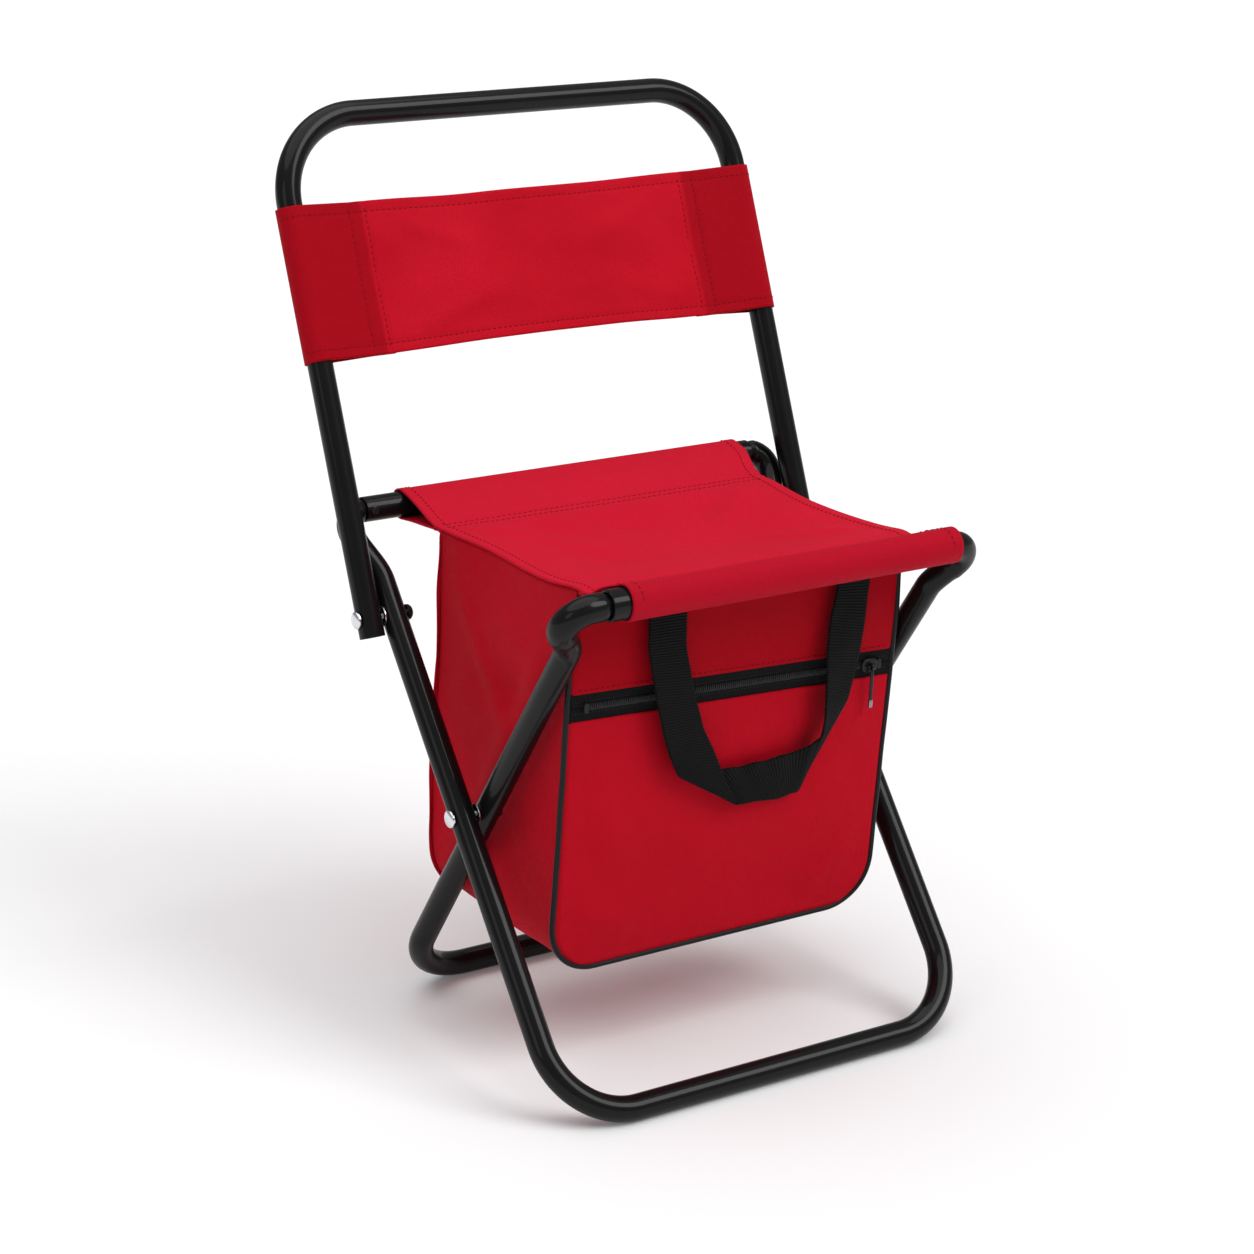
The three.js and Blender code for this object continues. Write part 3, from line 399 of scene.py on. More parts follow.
def clothFinish(name, colour, deep, shadeFrom=0, lit=0.0, axis="X"):
    # Woven polyester: the product of two waves lifts every second crossing, and slow clouds tint the dye.
    # Farther from the middle than stated, where the cloth wraps round a tube, its colour is painted darker as
    # shade; soft patches of painted highlight run along the rest.
    finish = Finish(name, **{"Sheen Weight": 0.05, "Sheen Roughness": 0.4, "Sheen Tint": (1, 0.2, 0.25, 1),
                             "IOR": 1.45, "Specular IOR Level": 0.05})
    spot, u, v = finish.clothPlace()
    turns = math.pi / (0.62 * mm)
    weave = (u * turns).wave() * (v * turns).wave() * 0.5 + 0.5
    slub = finish.noise(spot, 900.0, 2.0)
    cloud = finish.noise(spot, 14.0, 3.0)
    tint = cloud * 0.55 + slub * 0.25 + weave * 0.2
    dyed = finish.blend(tint, deep, colour)
    if shadeFrom:
        place = finish.place()
        parts = finish.add("ShaderNodeSeparateXYZ", {}, {"Vector": place})
        unshaded = (1 - (parts.out(axis).size() - shadeFrom * mm) * (1 / (2.5 * mm))).held()
        paintedGleam = (unshaded * (finish.noise(place, 9.0, 2.0) * 3.0 - 1.0)).held()
        # Painted shade: the colour is darkened beyond the stated distance from the middle.
        dyed = finish.blend(1 - unshaded, dyed, darker(deep, 0.9))
        # Painted highlight: a lighter red laid in soft patches where the cloth is not shaded.
        dyed = finish.blend(paintedGleam * lit, dyed, (0.72, 0.012, 0.035, 1))
    crumple, broad = finish.noise(spot, 60.0, 4.0, 0.6), finish.noise(spot, 19.0, 2.0)
    relief = weave * 0.34 + slub * 0.15 + crumple * 1.7 + broad * 4.5
    return finish.made(dyed, 0.55 + 0.18 * cloud, relief, 1.0, 0.5)


def webbingFinish(name, colour, light, rib=1.9):
    # Ribbed tape: ribs across its length, with fine threads running over them.
    finish = Finish(name, **{"Sheen Weight": 0.02, "Sheen Roughness": 0.5, "Specular IOR Level": 0.07})
    spot, u, v = finish.clothPlace()
    ribs = (u * (2 * math.pi / (rib * mm))).wave() * 0.5 + 0.5
    threads = (v * (2 * math.pi / (0.8 * mm))).wave() * 0.5 + 0.5
    fuzz = finish.noise(spot, 1500.0, 2.0)
    tint = finish.blend(ribs * 0.55 + fuzz * 0.35, colour, light)
    return finish.made(tint, 0.62 + 0.2 * fuzz, ribs * 0.8 + threads * 0.15 + fuzz * 0.2, 1.0, 0.5)


def plainFinish(name, colour, light, roughness):
    # Moulded or coated material with a fine grain.
    finish = Finish(name, **{"Specular IOR Level": 0.14})
    grain = finish.noise(finish.place(), 700.0)
    return finish.made(finish.blend(grain, colour, light), roughness + 0.15 * grain, grain, 0.25, 0.12)


def foilFinish(name, colour, light):
    # Crinkled foil bonded to foam.
    finish = Finish(name, **{"Metallic": 0.85})
    crinkle = finish.noise(finish.place(), 120.0, 6.0, 0.7)
    return finish.made(finish.blend(crinkle, colour, light), 0.28 + 0.2 * crinkle, crinkle, 0.6, 1.2)


enamel = paintFinish("blackEnamel", (0.003, 0.003, 0.0035, 1), (0.006, 0.006, 0.007, 1), 0.3)
chrome = metalFinish("chrome", (0.78, 0.79, 0.81, 1), 0.12)
nickel = metalFinish("zipMetal", (0.30, 0.31, 0.32, 1), 0.3)
blackMetal = paintFinish("blackMetal", (0.008, 0.008, 0.009, 1), (0.018, 0.018, 0.02, 1), 0.3)
dye, deepDye = (0.53, 0.004, 0.016, 1), (0.41, 0.0022, 0.010, 1)
redCloth = clothFinish("redCloth", dye, deepDye)
# The band's sleeves beyond 119.5 mm are painted darker as shade where they wrap round the tubes; painted
# highlight patches lie along the front.
bandCloth = clothFinish("bandCloth", dye, deepDye, 119.5, 0.3)
# A lighter, pinker copy of the red cloth: painted light on the seat's upward face; beyond 131 mm along Y, on
# the front sleeve, it is painted darker as shade.
seatRedLitAndShaded = clothFinish("seatCloth", (0.60, 0.0075, 0.029, 1), (0.47, 0.0045, 0.019, 1), 131, axis="Y")
# A darker copy of the red cloth for the panel above the zip: painted shade under the seat.
shadedUpperRed = clothFinish("upperPanelPaintedShade", (0.42, 0.0022, 0.010, 1), (0.33, 0.0014, 0.007, 1))
redThread = plainFinish("redThread", (0.17, 0.001, 0.006, 1), (0.27, 0.002, 0.009, 1), 0.6)
greyThread = plainFinish("greyThread", (0.03, 0.03, 0.033, 1), (0.07, 0.07, 0.075, 1), 0.5)
webbing = webbingFinish("blackWebbing", (0.0012, 0.0012, 0.0014, 1), (0.010, 0.010, 0.011, 1))
zipCloth = webbingFinish("zipTape", (0.003, 0.003, 0.0034, 1), (0.010, 0.010, 0.011, 1), 0.9)
# Black nylon lightened towards grey by its grain: partly its own colour, partly painted glints on the teeth.
coilNylonWithGlints = plainFinish("zipCoil", (0.006, 0.006, 0.007, 1), (0.06, 0.06, 0.064, 1), 0.25)
pipingVinyl = plainFinish("pipingVinyl", (0.006, 0.006, 0.007, 1), (0.014, 0.014, 0.016, 1), 0.35)
foil = foilFinish("foil", (0.42, 0.43, 0.45, 1), (0.68, 0.69, 0.72, 1))
print("finishes made")


# Camera, light and floor

view = {"azimuth": 34.11, "elevation": 19.14, "roll": 2.17, "place": (-1065.4, -1565.45, 900.2),
        "focalPixels": 3165.44, "pixels": 1254}


def makeCamera():
    # Looks along the azimuth and below the horizon by the elevation, rolled about its own axis.
    a, e, r = (math.radians(view[k]) for k in ("azimuth", "elevation", "roll"))
    ahead = Vector((math.sin(a) * math.cos(e), math.cos(a) * math.cos(e), -math.sin(e)))
    right = Vector((math.cos(a), -math.sin(a), 0))
    up = right.cross(ahead)
    right, up = right * math.cos(r) + up * math.sin(r), up * math.cos(r) - right * math.sin(r)
    camera = placed("camera", bpy.data.cameras.new("camera"))
    camera.data.sensor_width = 36
    camera.data.lens = view["focalPixels"] / view["pixels"] * camera.data.sensor_width
    camera.data.clip_end = 60
    camera.matrix_world = Matrix((right, up, -ahead)).transposed().to_4x4()
    camera.location = Vector(view["place"]) * mm
    bpy.context.scene.camera = camera


lamps = {  # direction towards it, softness in degrees, strength
    "key": ((0.40, -0.56, 0.72), 34, 1.45),
    "top": ((-0.12, 0.10, 1.0), 75, 1.75),
    "side": ((-0.85, -0.30, 0.45), 24, 0.16),
}


def makeLight(name, towards, softness, strength):
    # A broad even light from far off, so that the whole floor is lit alike.
    lamp = bpy.data.lights.new(name, "SUN")
    lamp.angle, lamp.energy = math.radians(softness), strength
    placed(name, lamp).rotation_euler = Vector(towards).to_track_quat("Z", "Y").to_euler()


def makeFloor():
    # A wide flat sheet of grid points at the height of the floor.
    row = np.linspace(-9000, 9000, 13)
    x, y = grid(row, row)
    finish = Finish("floorPaper", **{"Base Color": (0.82, 0.82, 0.825, 1), "Roughness": 0.8,
                                     "Specular IOR Level": 0.2, "Emission Color": (1, 1, 1, 1),
                                     "Emission Strength": 0.08})
    floor = makePiece("floor", joined(x, y, 0), gridFaces(13, 13), finish.material)
    world = bpy.data.worlds.new("studio")
    world.use_nodes = True
    sky = world.node_tree.nodes["Background"]
    sky.inputs["Color"].default_value, sky.inputs["Strength"].default_value = (0.98, 0.985, 1.0, 1), 0.32
    bpy.context.scene.world = world
    bpy.context.scene.view_settings.view_transform = "Standard"


makeCamera()
for lampName, values in lamps.items():
    makeLight(lampName, *values)
makeFloor()
print("camera, light and floor made")


# Frame of bent tubes

across = np.array([1.0, 0, 0])
tubeRadius, tubeSides, tubeStep = 8.0, 40, 1.6
frontLegs = {"foot": (-170.75, 8), "lean": 40.2, "halfWidth": 149.5, "legLength": 403.8, "bend": 50,
             "flare": 10, "flareStart": 354.8, "flareLength": 36, "elbow": 12.5, "railHalf": 147,
             "insert": 25, "narrow": 6.6, "flutes": 0.0, "swell": 0.0, "neck": 151}
rearLegs = {"foot": (55.05, 8), "lean": -33.07, "halfWidth": 132.1, "legLength": 373.7, "bend": 46,
            "flare": 12.9, "flareStart": 334, "flareLength": 26, "elbow": 15, "railHalf": 120.6,
            "insert": 25, "narrow": 7.2, "flutes": 0.13, "swell": 0.7, "neck": 124.5}
backFrame = {"pivot": (43.93, 262.04), "lean": 23.87, "halfWidth": 166.9, "height": 313.4, "bend": 55,
             "tail": 12, "bore": 7.0, "boreDepth": 24}


def leaning(degrees):
    # The direction in the YZ plane that leans backwards from upright.
    return np.array([0, math.sin(math.radians(degrees)), math.cos(math.radians(degrees))])


def inPlane(flat, origin, up):
    # Points across and along a leaning plane, placed in space.
    return np.array([0, *origin]) + flat[:, :1] * across + flat[:, 1:] * up


def legFrame(name, values, node, body):
    # A U of tube: straight legs on bends, widened towards the top, then elbows that narrow into the rail.
    half, top = values["halfWidth"], values["legLength"]
    inner = values["railHalf"] - values["insert"] - values["flare"]
    corners = [(-inner, top), (-half, top), (-half, 0), (half, 0), (half, top), (inner, top)]
    bends = [values["elbow"], values["bend"], values["bend"], values["elbow"]]
    flat = roundedPath(corners, bends, tubeStep)
    rise = smooth((flat[:, 1] - values["flareStart"]) / values["flareLength"])
    flat[:, 0] += np.sign(flat[:, 0]) * values["flare"] * rise
    up = leaning(values["lean"])
    path = inPlane(flat, values["foot"], up)
    reach = np.abs(flat[:, 0])
    atTop = smooth((flat[:, 1] - top + 40) / 30)
    neck = values["neck"]
    share = smooth((neck - reach) / 4) * atTop
    swollen = values["swell"] * smooth((flat[:, 1] - values["flareStart"] - 0.55 * values["flareLength"]) / 3)
    radius = mix(tubeRadius + swollen, values["narrow"], share)[:, None]
    groove = np.maximum(0, np.cos(7 * anglesRound(tubeSides) + 0.6)) ** 2
    grooved = (smooth((neck + 3 - reach) / 9) * atTop)[:, None] * groove * values["flutes"]
    radii = radius * (1 - grooved)
    stations = np.r_[0, np.arange(len(path)), len(path) - 1]
    radii = np.concatenate([0 * radii[:1], radii, 0 * radii[:1]])
    rings = sweepRings(path, np.cross(across, up), stations, radii, tubeSides)
    ringShell(name, rings, enamel, body, node)


def backTube():
    # An arch of tube with open lower ends: the wall turns in at each mouth and the bore runs up inside.
    values = backFrame
    half, low, top = values["halfWidth"], -values["tail"], values["height"]
    corners = [(-half, low), (-half, top), (half, top), (half, low)]
    flat = roundedPath(corners, [values["bend"]] * 2, tubeStep)
    up = leaning(values["lean"])
    path = inPlane(flat, values["pivot"], up)
    deep = int(values["boreDepth"] / tubeStep)
    last = len(path) - 1
    mouth = np.array([values["bore"], values["bore"] + 0.2, tubeRadius - 0.25, tubeRadius])
    stations = np.r_[deep, np.arange(deep, -1, -1), [0] * 3, np.arange(1, last), [last] * 4,
                     np.arange(last - 1, last - deep - 1, -1), last - deep]
    radii = np.r_[0, np.full(deep, values["bore"]), mouth, np.full(last - 1, tubeRadius), mouth[::-1],
                  np.full(deep, values["bore"]), 0]
    rings = sweepRings(path, np.cross(across, up), stations, radii[:, None], tubeSides)
    ringShell("backTube", rings, enamel, "backrest", "backrest_tube", sharp=50)


rearRail = {"axis": (89.886, 316.421), "radius": 8.0, "bore": 7.0, "half": 147}
frontRail = {"axis": (-148.865, 321.162), "radius": 9.5, "bore": 7.7, "half": 120.6}


def seatRail(name, rail, node, body):
    # A straight pipe with rolled rims: one profile round its wall, turned about its axis.
    lip = 0.5
    centre, radius, bore, half = rail.values()
    wall = [(-half + lip, radius), (-half, radius - lip), (-half, bore + lip), (-half + lip, bore)]
    inside = [(x, bore) for x in np.linspace(-half + 4, half - 4, 12)]
    outside = [(x, radius) for x in np.linspace(half - 4, -half + 4, 40)]
    profile = wall + inside + [(-x, r) for x, r in wall[::-1]] + outside
    ringShell(name, turnedRings(profile, centre, 1, 56), enamel, body, node, sharp=35, wrapRows=True)


legFrame("frontLegTube", frontLegs, "front_leg_tube", "front_leg_frame")
legFrame("rearLegTube", rearLegs, "rear_leg_tube", "rear_leg_frame")
backTube()
seatRail("rearSeatRail", rearRail, "rear_seat_rail", "front_leg_frame")
seatRail("frontSeatRail", frontRail, "front_seat_rail", "rear_leg_frame")
print("tubes made")


# Rivets, bolts and washers

crossing, backPivot = (-43.218, 158.914), (43.929, 262.039)
sides = ((-1, "left"), (1, "right"))
fasteners = {"clear": 0.3, "shank": 2.6, "head": 5.5, "headHeight": 2.6, "tail": 4.4, "tailHeight": 1.2,
             "washer": 6.5, "washerThickness": 0.8, "washerRound": 0.2, "boltReach": 3, "nut": 5.0,
             "nutHeight": 4.5, "nutBore": 2.9, "nutDepth": 3.0, "railHead": 2.8, "railHeadHeight": 1.4,
             "railShank": 1.7, "railDepth": 3.5}


def faceOf(values, way):
    # How far from the middle a tube's inner (-1) or outer (1) side stands.
    return values["halfWidth"] + way * tubeRadius


def turnedPart(name, side, word, profile, centre, finish, node, wrapRows=False):
    # A part of the front leg frame, turned about a line along X.
    ringShell(name + "." + word, turnedRings(profile, centre, side), finish, "front_leg_frame",
              node + "_" + word, sharp=40, wrapRows=wrapRows)


def crossRivets():
    # Domed heads outside the front legs, shanks through both tubes and small burred tails inside.
    for side, word in sides:
        inner, outer = faceOf(rearLegs, -1) - fasteners["clear"], faceOf(frontLegs, 1) + fasteners["clear"]
        tail = domeProfile(0, fasteners["tail"], fasteners["tailHeight"])
        head = domeProfile(outer, fasteners["head"], fasteners["headHeight"])
        shank = [(inner, fasteners["shank"]), (outer, fasteners["shank"])]
        profile = np.r_[[(inner - x, r) for x, r in tail[::-1]], shank, head]
        turnedPart("crossRivet", side, word, profile, crossing, chrome, "cross_rivet")


def washers(name, centre, inner, node):
    # Flat rings with rounded edges in the gap between two tubes.
    for side, word in sides:
        low = inner + fasteners["clear"]
        high, turn = low + fasteners["washerThickness"], fasteners["washerRound"]
        hole, rim = fasteners["shank"] + fasteners["clear"], fasteners["washer"]
        profile = [(low, hole), (low, rim - turn), (low + turn, rim), (high - turn, rim),
                   (high, rim - turn), (high, hole)]
        turnedPart(name, side, word, profile, centre, chrome, node, wrapRows=True)


def backBolts():
    # A round-headed bolt outside the backrest tube and a black domed nut inside the front leg.
    for side, word in sides:
        inner, outer = faceOf(frontLegs, -1), faceOf(backFrame, 1) + fasteners["clear"]
        end, shank = inner - fasteners["boltReach"], fasteners["shank"]
        head = domeProfile(outer, fasteners["head"], fasteners["headHeight"])
        profile = np.r_[[(end, 0), (end, shank), (outer, shank)], head]
        turnedPart("backBolt", side, word, profile, backPivot, chrome, "backrest_bolt")
        base, bore = inner - fasteners["clear"], fasteners["nutBore"]
        bottom = base - fasteners["nutDepth"]
        dome = domeProfile(0, fasteners["nut"], fasteners["nutHeight"])[::-1]
        profile = np.r_[[(base - x, r) for x, r in dome], [(base, bore), (bottom, bore), (bottom, 0)]]
        turnedPart("backNut", side, word, profile, backPivot, blackMetal, "backrest_nut")


def railRivets(name, rail, x, degrees, node, body):
    # A small low head on each end of a rail, turned about a line square to the rail.
    turn = math.radians(degrees)
    out = np.array([0, math.cos(turn), math.sin(turn)])
    base, deep = rail["radius"] - fasteners["clear"], rail["radius"] - fasteners["railDepth"]
    dome = domeProfile(base, fasteners["railHead"], fasteners["railHeadHeight"])
    profile = np.r_[[(deep, 0), (deep, fasteners["railShank"]), (base, fasteners["railShank"])], dome]
    ring = circles(across, np.cross(out, across), 32)
    for side, word in sides:
        centre = np.array([side * x, *rail["axis"]]) + profile[:, :1] * out
        rings = centre[:, None] + profile[:, 1:, None] * ring
        ringShell(name + "." + word, rings, blackMetal, body, node + "_" + word, sharp=40)


crossRivets()
washers("crossWasher", crossing, faceOf(rearLegs, 1), "cross_washer")
washers("backWasher", backPivot, faceOf(frontLegs, 1), "backrest_washer")
backBolts()
railRivets("rearRailRivet", rearRail, 142, 169, "rear_rail_rivet", "front_leg_frame")
railRivets("frontRailRivet", frontRail, 115.6, 11, "front_rail_rivet", "rear_leg_frame")
print("fasteners made")


# Cloth that goes round tubes

def scale(values):
    return tuple(v * mm for v in values)


def averaged(line, weights):
    # A line's points evened out by weights that slide along it.
    return joined(*(np.convolve(column, weights, "valid") for column in line.T))


class ClothLine:
    # The middle layer of a cloth seen from its edge, with places measured along it.
    def __init__(self, points):
        line = respace(np.asarray(points, float), 0.8)
        self.points = np.concatenate([line[:2], averaged(line, np.ones(5) / 5), line[-2:]])
        self.places = lengthsAlong(self.points)
        self.outward = squareTo(self.points)
        self.length = self.places[-1]

    def at(self, places):
        # The points at those places.
        return pick(places, self.places, self.points)

    def outwardAt(self, places):
        # The cloth's outer side at those places.
        return unit(pick(places, self.places, self.outward))

    def nearest(self, point):
        # The place whose point is nearest to the one given.
        return self.places[np.argmin(np.linalg.norm(self.points - point, axis=1))]


band = {"low": 160, "high": 257, "offset": 3, "bow": 3, "seam": 129, "secondSeam": 118, "flap": 114,
        "wrap": 9.0, "thickness": 1.1, "hem": 6.5, "edgeSag": 1.6}


def bandLine():
    # Left flap, round the left tube, across the front, round the right tube, right flap.
    half, seam, front = backFrame["halfWidth"], band["seam"], -band["offset"]
    back = front + band["thickness"] + 0.15
    x = np.linspace(-seam, seam, 90)
    run = joined(x, front - band["bow"] * (1 - (x / seam) ** 2))
    left = loopRound((-half, 0), band["wrap"], (-seam, back), (-seam, front))
    right = loopRound((half, 0), band["wrap"], (seam, front), (seam, back))
    ends = [[(-band["flap"], back), (-seam, back)], [(seam, back), (band["flap"], back)]]
    return ClothLine(np.concatenate([ends[0], left, run, right, ends[1]]))


bandPath = bandLine()


def bandPoints(s, v):
    # Points at places along the cloth and up it, pushed out by folds that start from the seams.
    flat, out = bandPath.at(s), bandPath.outwardAt(s)
    x = flat[..., 0]
    onFront = smooth((4 - flat[..., 1] - np.abs(out[..., 0]) * 9) / 4)
    middle = smooth((band["seam"] - np.abs(x)) / 40) * onFront
    share = (v - band["low"]) / (band["high"] - band["low"])
    puff = 1.1 * ripple(x * 0.6, v, 3, 46) * middle
    pull = 0.8 * np.sin(share * 9 + 0.4) * bell(np.abs(x) - 112, 14) * onFront
    tight = folds(x, v, ((-112, 168), (-20, 196), 7, 1.3), ((112, 249), (30, 214), 8, 1.2),
                  ((-110, 246), (-40, 222), 6, 0.9), ((114, 172), (50, 190), 6, 0.8))
    seams = sum(bell(np.abs(x) - place, 1.5) for place in (band["seam"], band["secondSeam"]))
    hems = sum(bell(v - place, 1.5) for place in (band["low"] + band["hem"], band["high"] - band["hem"]))
    push = puff + pull - 0.45 * (seams + hems) * (np.abs(x) < 150) * (out[..., 1] < -0.5)
    inset = band["edgeSag"] * smooth((band["seam"] - np.abs(x)) / 90) * onFront
    v = v - inset * (2 * share - 1)
    flat = flat + out * (push + tight * onFront)[..., None]
    up = leaning(backFrame["lean"])
    behind = np.cross(up, across)
    return (np.array([0, *backFrame["pivot"]]) + flat[..., :1] * across + v[..., None] * up
            + flat[..., 1:] * behind)


def backBand():
    # A grid along the cloth's line and up its height.
    s, v = grid(np.linspace(0, bandPath.length, 560), np.linspace(band["low"], band["high"], 60))
    piece = clothLayer("backBandCloth", bandPoints(s, v), bandCloth, joined(s, v), band["thickness"],
                       "backrest", "backrest_band", flip=-1)
    heights = np.linspace(band["low"] + 2, band["high"] - 2, 80)
    for x, word in ((-band["seam"], "seamLeft"), (-band["secondSeam"], "innerSeamLeft"),
                    (band["seam"], "seamRight"), (band["secondSeam"], "innerSeamRight")):
        place = bandPath.nearest((x, -band["offset"] - band["bow"] * (1 - (x / band["seam"]) ** 2)))
        bandStitch(word, np.full(80, place), heights)
    ends = bandPath.nearest((-176, 0)), bandPath.nearest((176, 0))
    for height, word in ((band["low"] + band["hem"], "hemLow"), (band["high"] - band["hem"], "hemHigh")):
        bandStitch(word, np.linspace(*ends, 500), np.full(500, float(height)))


def bandStitch(word, s, v):
    # A row of stitches on the band's outer face.
    near = bandPoints(np.stack([s, s + 1]), np.stack([v, v]))
    above = bandPoints(s, v + 1)
    outward = unit(np.cross(near[1] - near[0], above - near[0]))
    line = near[0] + outward * band["thickness"] / 2
    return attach(stitches("backBand." + word, line, outward, redThread), "backrest")


seat = {"level": 316.02, "waistY": -22.11, "rearStitch": 39.7, "frontStitch": -124.9, "sag": 3.0,
        "extraSag": 5.0, "rearWrap": 9.1, "frontWrap": 10.6, "thickness": 1.2, "allowance": 7.0, "hem": 7.0,
        # along Y: place, left edge, right edge
        "edges": ((-141.0, 109.0, 131.5), (-128.0, 119.5, 121.5), (-87.4, 121.0, 121.0),
                  (-22.1, 118.5, 118.0), (39.7, 123.5, 123.5), (81.9, 120.0, 136.0)),
        "valley": 3.4, "crease": -130.0, "rowGap": 6.0, "rows": 330, "columns": 140}


def seatHeight(y):
    # The cloth's middle layer over the floor: level behind the waist, rising as a cube towards the front.
    top = frontRail["axis"][1] + seat["frontWrap"]
    share = np.maximum(0, (seat["waistY"] - y) / (seat["waistY"] - frontRail["axis"][0]))
    return seat["level"] + (top - seat["level"]) * share ** 3


def seatLine():
    # Rear flap, round the rear rail, forwards over the bag, round the front rail, front flap.
    down = seat["thickness"] + 0.1
    rear, front = seat["rearStitch"], seat["frontStitch"]
    y = np.linspace(rear, -140, 120)
    run = joined(y, seatHeight(y))
    ends = (rear - seat["allowance"], rear, front, front + seat["allowance"])
    rearEnd, lowRear, lowFront, frontEnd = ((place, seatHeight(place) - down) for place in ends)
    rearLoop = loopRound(rearRail["axis"], seat["rearWrap"], lowRear, run[0])
    frontLoop = loopRound(frontRail["axis"], seat["frontWrap"], run[-20], lowFront)
    run = run[run[:, 0] > frontLoop[0, 0] + 1]
    return ClothLine(np.concatenate([[rearEnd, lowRear], rearLoop, run, frontLoop, [lowFront, frontEnd]]))


seatPath = seatLine()


def seatEdge(y):
    # The two side edges, eased from one stated place to the next.
    edges = seat["edges"]
    left, right = (x + 0 * y for x in edges[0][1:])
    for (before, *_), (place, leftX, rightX) in zip(edges, edges[1:]):
        share = smooth((y - before) / (place - before))
        left, right = mix(left, leftX, share), mix(right, rightX, share)
    return -left, right


def seatLift(x, y):
    # How far the cloth stands over its even height: sag in the middle, slow waves and soft folds.
    along = np.clip((y - seat["frontStitch"]) / (seat["rearStitch"] - seat["frontStitch"]), 0, 1)
    dip = np.maximum(0, 1 - (x / 118) ** 2) * np.sin(np.pi * along)
    behind = y - seat["crease"]
    valley = seat["valley"] * bell(behind - 4, 9) * smooth((behind + 8) / 10)
    inner = smooth((108 - np.abs(x)) / 60) * smooth((y + 98) / 50) * smooth((32 - y) / 30)
    ridges = folds(x, y, ((-112, 36), (-30, -40), 9, 2.1), ((112, 36), (40, -30), 9, 1.8),
                   ((-112, -96), (-30, -60), 10, 1.9), ((112, -92), (50, -50), 8, 1.7),
                   ((-60, 34), (-10, -10), 7, 0.8))
    waves = 1.7 * ripple(x, 0.8 * y, 11, 75) * inner
    grooves = 0.8 * bell(behind, 1.8)
    for row in (seat["rearStitch"], seat["rearStitch"] - seat["rowGap"]):
        grooves = grooves + 0.5 * bell(y - row, 1.6)
    return ridges - valley + waves - grooves - seat["sag"] * dip - seat["extraSag"] * inner


def seatPoints(s, share):
    # Points at places along the cloth's line and across it, sagging between its four corners.
    flat, out = seatPath.at(s), seatPath.outwardAt(s)
    y, z = flat[..., 0], flat[..., 1]
    left, right = seatEdge(y)
    x = mix(left, right, share)
    onRail = 1 - smooth(np.abs(out[..., 1]) * 3 - 1.6)
    slack = 0.5 * ripple(x * 1.6, s * 0.5, 17, 60) * onRail
    hem = 0.35 * (smooth((left + 8 - x) / 2) + smooth((x - right + 8) / 2)) * smooth(out[..., 1] * 3)
    push = slack + hem
    return joined(x, y + out[..., 0] * push, z + out[..., 1] * push + seatLift(x, y))


def seatCloth():
    # A grid along the cloth's line and across its width.
    s, share = grid(np.linspace(0, seatPath.length, seat["rows"]), np.linspace(0, 1, seat["columns"]))
    points = seatPoints(s, share)
    piece = clothLayer("seatCloth", points, seatRedLitAndShaded, joined(points[..., 0], s), seat["thickness"], flip=-1)
    rows = [seatRow("rearSeam", seat["rearStitch"]),
            seatRow("rearSeamSecond", seat["rearStitch"] - seat["rowGap"]),
            seatRow("frontSeam", seat["crease"]), seatSide("hemLeft", -1), seatSide("hemRight", 1)]
    for part in [piece] + rows:
        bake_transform(part)
    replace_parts(piece, "seat_sling")


def seatStitch(word, s, share):
    # A row of stitches at places on the seat's outer face.
    here = seatPoints(s, share)
    outward = unit(np.cross(seatPoints(s + 1, share) - here, seatPoints(s, share + 0.004) - here))
    return stitches("seat." + word, here + outward * seat["thickness"] / 2, outward, redThread, thick=0.4)


def seatRow(word, y):
    # A row of stitches across the seat.
    s = seatPath.nearest((y, seatHeight(y)))
    return seatStitch(word, np.full(400, s), np.linspace(0.01, 0.99, 400))


def seatSide(word, side):
    # A row of stitches along a side hem, from the front sleeve to the rear one.
    s = np.linspace(seatPath.nearest((96, 322)), seatPath.nearest((-158, 322)), 500)
    left, right = seatEdge(seatPath.at(s)[:, 0])
    share = seat["hem"] / (right - left)
    return seatStitch(word, s, share if side < 0 else 1 - share)


backBand()
seatCloth()
print("back band and seat made")


# The bag under the seat

bag = {"half": 118.4, "bottom": 71.52, "radius": 30, "flatTop": 307.72, "face": -102.07, "slope": 0.06,
       "back": 36.5, "cloth": 1.5, "bulge": 3.0, "piping": 1.8, "pipingOffset": 2.1, "pipingDepth": 1.5,
       "flange": 3.4, "frontTop": -117.0, "rearTop": 38.0, "overlap": 0.9, "linerTop": 296, "linerInset": 2.6,
       "linerThickness": 1.8}
zipBand = {"middle": 241.02, "fall": 0.04016, "height": 17.5, "tapeDepth": 1.05, "tapeThickness": 0.7,
           "coilHalf": 110.4, "coilPitch": 1.5, "coilHeight": 2.1, "coilDepth": 0.4, "wire": 0.42,
           "stopLength": 3, "stopHeight": 6.4, "sliderX": 101.1, "sliderLength": 12, "sliderHeight": 9,
           "bridgeRise": 3.2, "bridgeHalf": 2.9, "bridgeWire": 0.65, "eye": 1.7, "eyeWire": 0.45,
           "eyeHalf": 1.4, "pullLength": 27, "pullWidth": 3}


def panelFace(z):
    # The front panel leans forwards by a share of its height.
    return bag["face"] - bag["slope"] * (z - bag["bottom"])


def zipLine(x):
    # The zip falls a little towards the right.
    return zipBand["middle"] - zipBand["fall"] * x


def underSeat(x, y):
    # The underside of the seat over a point.
    return seatHeight(y) + seatLift(x, y) - seat["thickness"] / 2


